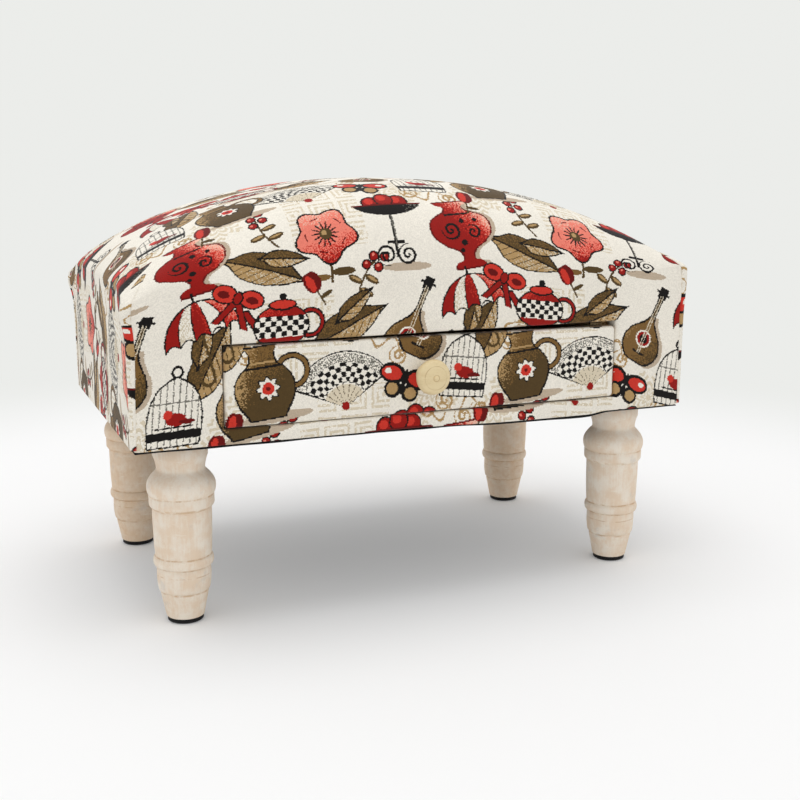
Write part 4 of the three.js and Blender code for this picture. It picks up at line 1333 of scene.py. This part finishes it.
def make_cover(shape, sizes):
    """The cloth over the pad, down the four sides, under the box and into the drawer opening."""
    lip, corner = sizes.lip, sizes.corner
    xs = lines(mirrored([
        0, shape.opening, shape.opening + lip,
        *(HALF_WIDTH - corner * (1 - step / CORNER_STEPS) for step in range(CORNER_STEPS + 1)),
    ]), sizes.spacing)
    ys = edge_lines(HALF_DEPTH, 2 * round(HALF_DEPTH / sizes.spacing) + 6)
    across, deep = arcs(xs, ys, shape.height)
    middle = int(np.argmin(np.abs(xs)))
    deep = (deep + deep[:, [middle]]) / 2
    flat = {(x, y): (across[j, i], deep[j, i]) for j, y in enumerate(ys) for i, x in enumerate(xs)}

    def top_mark(x, y):
        return flat[x, y]

    def wall_mark(x, y, side, level):
        u, v = flat[x, y]
        hang = shape.shoulder - level if level else 0
        return u + WAYS[side][0] * hang, v + WAYS[side][1] * hang

    cloth = Cloth(xs, ys, shape.top, top_mark)
    levels = lines([
        shape.shoulder, shape.opening_top + lip, shape.opening_top + lip / 3, shape.opening_top, shape.sill,
        shape.sill - lip / 3, shape.sill - lip, COVER_LOW.z + lip,
    ][::-1], sizes.spacing)[::-1]
    rings = {}
    above = shape.shoulder
    for level in levels[1:]:
        rings[level] = cloth.carry(
            shape.wall, wall_mark, level,
            lambda side, near, far, level: shape.in_opening(side, near, far, level, above),
        )
        above = level
    for turn in LIP_TURNS:
        swing = math.radians(turn)
        drop, inset = lip * math.sin(swing), lip * (1 - math.cos(swing))
        cloth.carry(
            lambda x, y, level: shape.hem(x, y, level, inset), wall_mark, COVER_LOW.z + lip - drop,
        )
    for step in range(1, HEM_STEPS + 1):
        under = lip + (sizes.hem - lip) * step / HEM_STEPS
        cloth.carry(
            lambda x, y, level: shape.hem(x, y, COVER_LOW.z, under), wall_mark, COVER_LOW.z - under,
        )

    front = [x for x in xs if abs(x) <= shape.opening + SLACK]
    bottom = min(rings, key=lambda level: abs(level - shape.sill))
    roof = min(rings, key=lambda level: abs(level - shape.opening_top))
    upright = [level for level in rings if bottom <= level <= roof]
    loop = [(x, bottom) for x in front] + [(front[-1], level) for level in reversed(upright[:-1])]
    loop += [(x, roof) for x in front[-2::-1]] + [(front[0], level) for level in upright[1:]]
    row = [rings[level][x, ys[0]] for x, level in loop]
    marks = {number: wall_mark(x, ys[0], "front", level) for number, (x, level) in zip(row, loop)}
    for share in TURN_IN_SHARES:
        depth = sizes.turn_in * share
        start = len(cloth.places)
        for x, level in loop[:-1]:
            height = level + shape.raised(x, level) - shape.lowered(x, level)
            cloth.places.append(Vector((COVER_MIDDLE.x + x, COVER_LOW.y + depth, height)))
        inner = list(range(start, len(cloth.places))) + [start]
        for number, (x, level) in zip(inner[:-1], loop):
            u, v = wall_mark(x, ys[0], "front", level)
            marks[number] = (u + depth, v + depth)
        cloth.strip(row, inner, marks.get)
        row = inner
    return cloth


def make_foam(cover, cloth, sizes):
    """The pad that fills the settled cover down to the box's deck, with its underside closed."""
    depth = sizes.cloth + FOAM_GAP
    top = len(cloth.xs) * len(cloth.ys)
    places = [vertex.co - vertex.normal * depth for vertex in cover.data.vertices[:top]]
    faces = [tuple(face.vertices) for face in cover.data.polygons if max(face.vertices) < top]
    start = [j * len(cloth.xs) + i for i, j in cloth.rim_steps]
    for share in (0.5, 0):
        ring = list(range(len(places), len(places) + len(start)))
        for number in start:
            rim = places[number]
            places.append(Vector((rim.x, rim.y, FOAM_LOW.z + share * (rim.z - FOAM_LOW.z))))
        faces += [
            (start[step - 1], ring[step - 1], ring[step], start[step]) for step in range(len(start))
        ]
        start = ring
    faces.append(tuple(reversed(start)))
    return mesh_piece("seat_foam_pad", places, faces)


def make_drawer_cloth(sizes):
    """The cloth over the drawer's front board, drawn round to a border behind it."""
    low, high = FRONT_LOW, FRONT_HIGH
    middle = (low + high) / 2
    half_width, half_height = (high.x - low.x) / 2, (high.z - low.z) / 2
    knob = ((KNOB_LOW.x + KNOB_HIGH.x) / 2 - middle.x, (KNOB_LOW.z + KNOB_HIGH.z) / 2 - middle.z)
    edge = 1.5 * sizes.lip
    depth = high.y - low.y

    def face(x, z):
        beyond = edge - min(half_width - abs(x), half_height - abs(z), edge)
        turned = edge - math.sqrt(max(edge ** 2 - beyond ** 2, 0))
        far = (x - knob[0]) ** 2 + (z - knob[1]) ** 2
        pulled = KNOB_DENT * math.exp(-far / DENT_RADIUS ** 2)
        sides = rounded(x, z, half_width, half_height, edge)
        return middle.x + sides[0], low.y + turned + pulled, middle.z + hung(*sides)

    def hung(x, z):
        """The upper edge's height, a little lower at the right."""
        return z - FRONT_HANG * max(z / half_height, 0) * smooth((1 + x / half_width) / 2)

    def behind(x, z, level):
        inset = max(level - depth, 0)
        wide, tall = half_width - inset, half_height - inset
        sides = rounded(x * wide / half_width, z * tall / half_height, wide, tall, edge)
        return middle.x + sides[0], low.y + min(level, depth), middle.z + hung(*sides)

    def mark(x, z, side="front", level=0):
        way = WAYS[side]
        return PRINT_OFFSET[0] + x + way[0] * level, PRINT_OFFSET[1] + z + way[1] * level

    rim_steps = [edge * (1 - step / CORNER_STEPS) for step in range(CORNER_STEPS + 1)]
    spacing = sizes.spacing * 0.8
    xs = lines(mirrored([0, *(half_width - inset for inset in rim_steps)]), spacing)
    zs = lines(mirrored([0, *(half_height - inset for inset in rim_steps)]), spacing)
    cloth = Cloth(xs, zs, face, mark)
    behind_levels = [depth + step for step in BORDER_STEPS]
    for level in (edge + MM, depth - MM, depth, *behind_levels):
        cloth.carry(behind, mark, level)
    return cloth.piece("drawer_front_tapestry")


def leg_outline(length):
    """The leg's profile from the pin's bore at its foot to the bolt's bore at its top."""
    outline = turned_outline(LEG_TURNING, LEG_WIDTH, length, 8)
    pin = [(0, PIN_BORE[1]), (PIN_BORE[0], PIN_BORE[1]), (PIN_BORE[0], 0)]
    bolt = [(BOLT_BORE[0], length), (BOLT_BORE[0], length - BOLT_BORE[1]), (0, length - BOLT_BORE[1])]
    return pin + outline + bolt


def make_leg(corner):
    """A turned leg, a little uneven as hand-rubbed turnings are."""
    low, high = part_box(f"leg_{corner}")
    middle = (low + high) / 2
    place = Matrix.Translation((middle.x, middle.y, low.z))
    leg = lathe(f"turned_leg_{corner}", leg_outline(high.z - low.z), TURNING_SIDES, place)
    for vertex in leg.data.vertices:
        away = Vector((vertex.co.x - middle.x, vertex.co.y - middle.y, 0))
        if away.length > LEG_CORE:
            long, short = (noise.noise(vertex.co / wave) for wave in LEG_WAVES)
            vertex.co += away.normalized() * ((long + 0.5 * short) * LEG_UNEVEN - LEG_WORN)
    leg.data.set_sharp_from_angle(angle=LEG_CREASE)
    return leg


def make_glide(corner):
    """The round-edged black disc under a leg, with its pin."""
    low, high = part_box(f"glide_{corner}")
    middle = (low + high) / 2
    radius, disc, pin, soft = (high.x - low.x) / 2, GLIDE_DISC, GLIDE_PIN, GLIDE_EDGE
    profile = bent([
        (0, 0), (radius - 2 * soft, 0), (radius - soft, 0, radius, soft),
        (radius, disc - soft), (radius, disc, radius - soft, disc),
        (pin, disc), (pin, high.z - pin), (pin, high.z, 0, high.z),
    ], 4)
    place = Matrix.Translation((middle.x, middle.y, low.z))
    glide = lathe(f"black_glide_{corner}", profile, GLIDE_SIDES, place)
    glide.data.set_sharp_from_angle(angle=GLIDE_CREASE)
    return glide


def make_knob():
    """The turned knob with a pip on its face and a bore for its screw."""
    radius, reach = (KNOB_HIGH.z - KNOB_LOW.z) / 2, KNOB_HIGH.y - KNOB_LOW.y
    bore, depth = SCREW_BORE
    profile = [(0, depth), (bore, depth), (bore, 0)]
    profile += turned_outline(KNOB_TURNING, radius, reach, 10)
    middle = (KNOB_LOW + KNOB_HIGH) / 2
    place = Matrix.Translation((middle.x, KNOB_HIGH.y, middle.z)) @ Matrix.Rotation(math.pi / 2, 4, "X")
    knob = lathe("turned_knob", profile, TURNING_SIDES, place)
    knob.data.set_sharp_from_angle(angle=KNOB_CREASE)
    return knob


def make_lining(shape, sizes):
    """The thin black cloth under the box, sagging a little between the legs."""
    low, high = LINING_LOW, LINING_HIGH
    middle = (low + high) / 2
    half_width, half_depth = (high.x - low.x) / 2, (high.y - low.y) / 2
    legs = [sum(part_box(f"leg_{corner}"), Vector()) / 2 for corner in CORNERS]

    def sag(x, y):
        spot = Vector((middle.x + x, middle.y + y))
        free = min((spot - leg.xy).length for leg in legs)
        loose = within(free / LINING_HOLD - 0.4)
        inset = min(half_width - abs(x), half_depth - abs(y))
        fold = noise.noise(Vector((spot.x / LINING_FOLDS[0], spot.y / LINING_FOLDS[1], 3)))
        slack = LINING_SLACK * loose * within(inset / LINING_EDGE) * (0.5 + 0.5 * fold)
        folded = math.exp(-(inset / LINING_HEM) ** 2)
        wavy = 0.9 + 1.2 * noise.noise(Vector((spot.x / LINING_WAVE, spot.y, 7)))
        return slack + folded * (max(wavy, 0.2) * MM + (lowest(spot.x) if y < 0 else 0))

    def lowest(x):
        return shape.lowered(x - COVER_MIDDLE.x, COVER_LOW.z)

    def place(x, y):
        return middle.x + x, middle.y - y, high.z - SLACK - sag(x, -y)

    xs, ys = (
        lines(mirrored([0, half - 2 * LINING_RIM, half - LINING_RIM, half]), 1.5 * sizes.spacing)
        for half in (half_width, half_depth)
    )
    lining = Cloth(xs, ys, place, lambda x, y: (x, y))
    return lining.piece("black_lining")


def make_corner_fold(shape, sizes, sign_x, sign_y):
    """The flat pleat of spare cloth that is sewn down at an upright corner of the box and runs
    out on the dome."""
    bottom = COVER_LOW.z + sizes.lip
    rise = shape.shoulder - bottom
    whole = rise + sizes.pleat_reach
    rows, columns = PLEAT_ROWS, PLEAT_COLUMNS
    proud = PLEAT_PROUD * sizes.cloth
    radius = sizes.corner
    lift = Vector(PLEAT_LEAN)
    places, marks = [], []
    for row in range(rows + 1):
        up = whole * row / rows
        width = sizes.pleat_foot + (sizes.pleat_top - sizes.pleat_foot) * min(up / rise, 1)
        over = max(up - rise, 0)
        width *= 1 - PLEAT_NARROWS * over / sizes.pleat_reach
        out = proud * (1 - PLEAT_SINKS * (over / sizes.pleat_reach) ** 2)
        for column in range(columns + 1):
            across = (column / columns - 0.5) * width
            sunk = out - PLEAT_EDGE * proud * abs(2 * column / columns - 1) ** 6
            bend = min(max(across / radius, -math.pi / 4), math.pi / 4)
            past = across - bend * radius
            x = HALF_WIDTH - radius + radius * math.cos(math.pi / 4 + bend) - max(past, 0)
            y = HALF_DEPTH - radius + radius * math.sin(math.pi / 4 + bend) + min(past, 0)
            way = Vector((math.cos(math.pi / 4 + bend), math.sin(math.pi / 4 + bend), 0))
            level = bottom + min(up, rise)
            if over > 0:
                x, y = x - over * 0.7, y - over * 0.7
                x, y, level = shape.top(sign_x * x, sign_y * y) - COVER_MIDDLE
                x, y, level = sign_x * x, sign_y * y, level + COVER_MIDDLE.z
                way = way.lerp(lift, min(over / sizes.corner, 1)).normalized()
            spot = Vector((x, y, level)) + way * sunk
            if over == 0:
                out_x, out_y, hang = shape.bunched(sign_x * x, sign_y * y, level)
                spot += Vector((sign_x * out_x, sign_y * out_y, hang))
            places.append((COVER_MIDDLE.x + sign_x * spot.x, COVER_MIDDLE.y + sign_y * spot.y, spot.z))
            marks.append((PLEAT_OFFSET[0] + across, PLEAT_OFFSET[1] + up))
    faces = []
    for row in range(rows):
        for column in range(columns):
            corner = row * (columns + 1) + column
            face = [corner, corner + 1, corner + columns + 2, corner + columns + 1]
            faces.append(face if sign_x * sign_y > 0 else face[::-1])
    name = f"corner_pleat_{'front' if sign_y < 0 else 'back'}_{'left' if sign_x < 0 else 'right'}"
    return mesh_piece(name, places, faces, [marks[number] for face in faces for number in face])


def make_stage(studio):
    """The pale floor that fades into an even backdrop, the light overhead and the camera."""
    scene = bpy.context.scene
    scene.view_settings.view_transform = "Standard"
    camera = bpy.data.objects.new("camera", bpy.data.cameras.new("camera"))
    camera.data.lens = studio.lens
    camera.location = studio.camera_place
    camera.rotation_euler = studio.camera_turn
    scene.collection.objects.link(camera)
    scene.camera = camera

    rings = [(radius, 0) for radius in (0, *FLOOR_RADII)]
    floor = lathe("floor", rings, TURNING_SIDES, Matrix.Identity(4))
    floor.data.flip_normals()
    sheet = Sketch("studio_floor")
    place = sheet.scaled(sheet.node("ShaderNodeTexCoord").outputs["Object"], (1, 1, 0))
    away = sheet.ramp(sheet.vector("LENGTH", place), *FLOOR_FADE)
    paler = sheet.node("ShaderNodeEmission", FLOOR_GLOW, 1)
    sheet.finish(studio.floor[:], 0.9, Specular_IOR_Level=0.1)
    glow = sheet.node("ShaderNodeEmission", BACKDROP, 1)
    seen = sheet.node("ShaderNodeLightPath").outputs["Is Camera Ray"]
    lifted = sheet.node(
        "ShaderNodeMixShader", sheet.times(seen, FLOOR_GLOW_SHARE),
        sheet.shader.outputs[0], paler.outputs[0],
    )
    share = sheet.times(away, seen)
    blend = sheet.node("ShaderNodeMixShader", share, lifted.outputs[0], glow.outputs[0])
    sheet.put(blend.outputs[0], sheet.tree.nodes["Material Output"].inputs["Surface"])
    floor.data.materials.append(sheet.material)

    world = bpy.data.worlds.new("studio")
    world.use_nodes = True
    scene.world = world
    nodes, links = world.node_tree.nodes, world.node_tree.links
    even, shown = nodes["Background"], nodes.new("ShaderNodeBackground")
    even.inputs["Color"].default_value = (1, 1, 1, 1)
    even.inputs["Strength"].default_value = studio.sky
    shown.inputs["Color"].default_value = (*BACKDROP, 1)
    path, mixed = nodes.new("ShaderNodeLightPath"), nodes.new("ShaderNodeMixShader")
    links.new(path.outputs["Is Camera Ray"], mixed.inputs[0])
    links.new(even.outputs[0], mixed.inputs[1])
    links.new(shown.outputs[0], mixed.inputs[2])
    links.new(mixed.outputs[0], nodes["World Output"].inputs["Surface"])

    lamp = bpy.data.objects.new("top_light", bpy.data.lights.new("top_light", "AREA"))
    lamp.data.energy = studio.top_light
    lamp.data.shape = "DISK"
    lamp.data.size = LAMP_WIDTH
    lamp.location = LAMP_PLACE
    lamp.rotation_euler = (LAMP_AIM - lamp.location).to_track_quat("-Z", "Y").to_euler()
    scene.collection.objects.link(lamp)


class FOOTSTOOL_OT_stage(bpy.types.Operator):
    """Add the camera, the floor and the light"""

    bl_idname = "footstool.stage"
    bl_label = "Stage"

    def execute(self, context):
        make_stage(context.scene.footstool_studio)
        return {"FINISHED"}


class FOOTSTOOL_OT_cover(bpy.types.Operator):
    """Draw the tapestry cover over the foam pad and the box"""

    bl_idname = "footstool.cover"
    bl_label = "Seat Cover and Pad"

    def execute(self, context):
        sizes = context.scene.footstool_cover
        tapestry = tapestry_material(context.scene.footstool_yarns, context.scene.footstool_print)
        shape = CoverShape(sizes)
        shape.settle()
        cloth = make_cover(shape, sizes)
        cover = dress(cloth.piece("seat_tapestry"), tapestry, STAND, "tapestry", "seat_cover")
        foam = dress(make_foam(cover, cloth, sizes), foam_material(), STAND, "foam", "seat_foam")
        thicken(cover, sizes.cloth)
        for sign_x in (-1, 1):
            for sign_y in (-1, 1):
                fold = dress(make_corner_fold(shape, sizes, sign_x, sign_y), tapestry, STAND, "tapestry")
                thicken(fold, sizes.cloth)
        return {"FINISHED"}


class FOOTSTOOL_OT_drawer_cloth(bpy.types.Operator):
    """Wrap the drawer's front in tapestry"""

    bl_idname = "footstool.drawer_cloth"
    bl_label = "Drawer Cloth"

    def execute(self, context):
        sizes = context.scene.footstool_cover
        cloth = make_drawer_cloth(sizes)
        dress(cloth, bpy.data.materials["printed_tapestry"], DRAWER, "tapestry", "drawer_front_cloth")
        thicken(cloth, sizes.cloth)
        return {"FINISHED"}


class FOOTSTOOL_OT_legs(bpy.types.Operator):
    """Turn the four limed legs and their glides"""

    bl_idname = "footstool.legs"
    bl_label = "Legs and Glides"

    def execute(self, context):
        limed, plastic = limed_wood(context.scene.footstool_woods), black_plastic()
        for corner in CORNERS:
            dress(make_leg(corner), limed, STAND, "limed_wood", f"leg_{corner}")
            dress(make_glide(corner), plastic, STAND, "glide_plastic", f"glide_{corner}")
        return {"FINISHED"}


class FOOTSTOOL_OT_knob(bpy.types.Operator):
    """Turn the drawer's knob"""

    bl_idname = "footstool.knob"
    bl_label = "Knob"

    def execute(self, context):
        dress(make_knob(), knob_wood(context.scene.footstool_woods), DRAWER, "knob_wood", "drawer_knob")
        return {"FINISHED"}


class FOOTSTOOL_OT_lining(bpy.types.Operator):
    """Lay the black lining under the box"""

    bl_idname = "footstool.lining"
    bl_label = "Lining"

    def execute(self, context):
        sizes = context.scene.footstool_cover
        lining = make_lining(CoverShape(sizes), sizes)
        dress(lining, lining_material(), STAND, "lining", "base_lining")
        thicken(lining, LINING_HIGH.z - LINING_LOW.z)
        return {"FINISHED"}


class FOOTSTOOL_OT_woodwork(bpy.types.Operator):
    """Give the boards, the drawer's box and the fittings their finishes"""

    bl_idname = "footstool.woodwork"
    bl_label = "Boards and Fittings"

    def execute(self, context):
        woods = context.scene.footstool_woods
        board = (woods.board[:], woods.pine_grain_and_knob_shade[:])
        ply = (woods.ply[:], woods.ply_grain[:])
        finishes = {
            "pine_across": (plain_wood("pine_across", *board, 0), BOARDS_ACROSS, BOARD_EDGE),
            "pine_deep": (plain_wood("pine_deep", *board, 1), BOARDS_DEEP, BOARD_EDGE),
            "ply_across": (plain_wood("ply_across", *ply, 0), PLY_ACROSS, PLY_EDGE),
            "ply_deep": (plain_wood("ply_deep", *ply, 1), PLY_DEEP, PLY_EDGE),
            "zinc": (zinc(), FITTINGS, 0),
        }
        for material, names, soft in finishes.values():
            for name in names:
                node = bpy.data.objects[name]
                node.data.materials.clear()
                node.data.materials.append(material)
                if soft:
                    edge = node.modifiers.new("soft_edges", "BEVEL")
                    edge.width, edge.segments = soft, 2
        return {"FINISHED"}


class FOOTSTOOL_PT_panel(bpy.types.Panel):
    """The stool's sizes and colours, and the steps that dress it"""

    bl_idname = "FOOTSTOOL_PT_panel"
    bl_label = "Footstool"
    bl_space_type = "VIEW_3D"
    bl_region_type = "UI"
    bl_category = "Footstool"

    def draw(self, context):
        for group, kind in GROUPS.items():
            box = self.layout.box()
            for name in kind.__annotations__:
                box.prop(getattr(context.scene, group), name)
        for step in STEPS:
            self.layout.operator(step.bl_idname)


BOARDS_ACROSS = ("base_board", "back_panel", "front_rail", "stop_batten", "seat_deck", "drawer_front_board")
BOARDS_DEEP = ("end_panel_left", "end_panel_right", "bay_side_left", "bay_side_right",
               "front_stile_left", "front_stile_right")
PLY_ACROSS = ("drawer_box_front", "drawer_back", "drawer_bottom")
PLY_DEEP = ("drawer_side_left", "drawer_side_right", "drawer_runner_left", "drawer_runner_right",
            "drawer_kicker_left", "drawer_kicker_right")
FITTINGS = (
    "knob_screw", *(f"leg_{fitting}_{corner}" for fitting in ("bolt", "nut") for corner in CORNERS),
)
GROUPS = {
    "footstool_cover": CoverSizes,
    "footstool_yarns": TapestryColours,
    "footstool_print": TapestrySizes,
    "footstool_woods": WoodColours,
    "footstool_studio": StudioSettings,
}
STEPS = (
    FOOTSTOOL_OT_stage,
    FOOTSTOOL_OT_cover,
    FOOTSTOOL_OT_drawer_cloth,
    FOOTSTOOL_OT_legs,
    FOOTSTOOL_OT_knob,
    FOOTSTOOL_OT_lining,
    FOOTSTOOL_OT_woodwork,
)
CLASSES = (*GROUPS.values(), *STEPS, FOOTSTOOL_PT_panel)


def register():
    for kind in CLASSES:
        bpy.utils.register_class(kind)
    for name, kind in GROUPS.items():
        setattr(bpy.types.Scene, name, PointerProperty(type=kind))


def unregister():
    for name in GROUPS:
        delattr(bpy.types.Scene, name)
    for kind in reversed(CLASSES):
        bpy.utils.unregister_class(kind)


def main():
    register()
    bpy.ops.footstool.stage()
    bpy.ops.footstool.cover()
    bpy.ops.footstool.drawer_cloth()
    bpy.ops.footstool.legs()
    bpy.ops.footstool.knob()
    bpy.ops.footstool.lining()
    bpy.ops.footstool.woodwork()


if __name__ == "__main__":
    main()
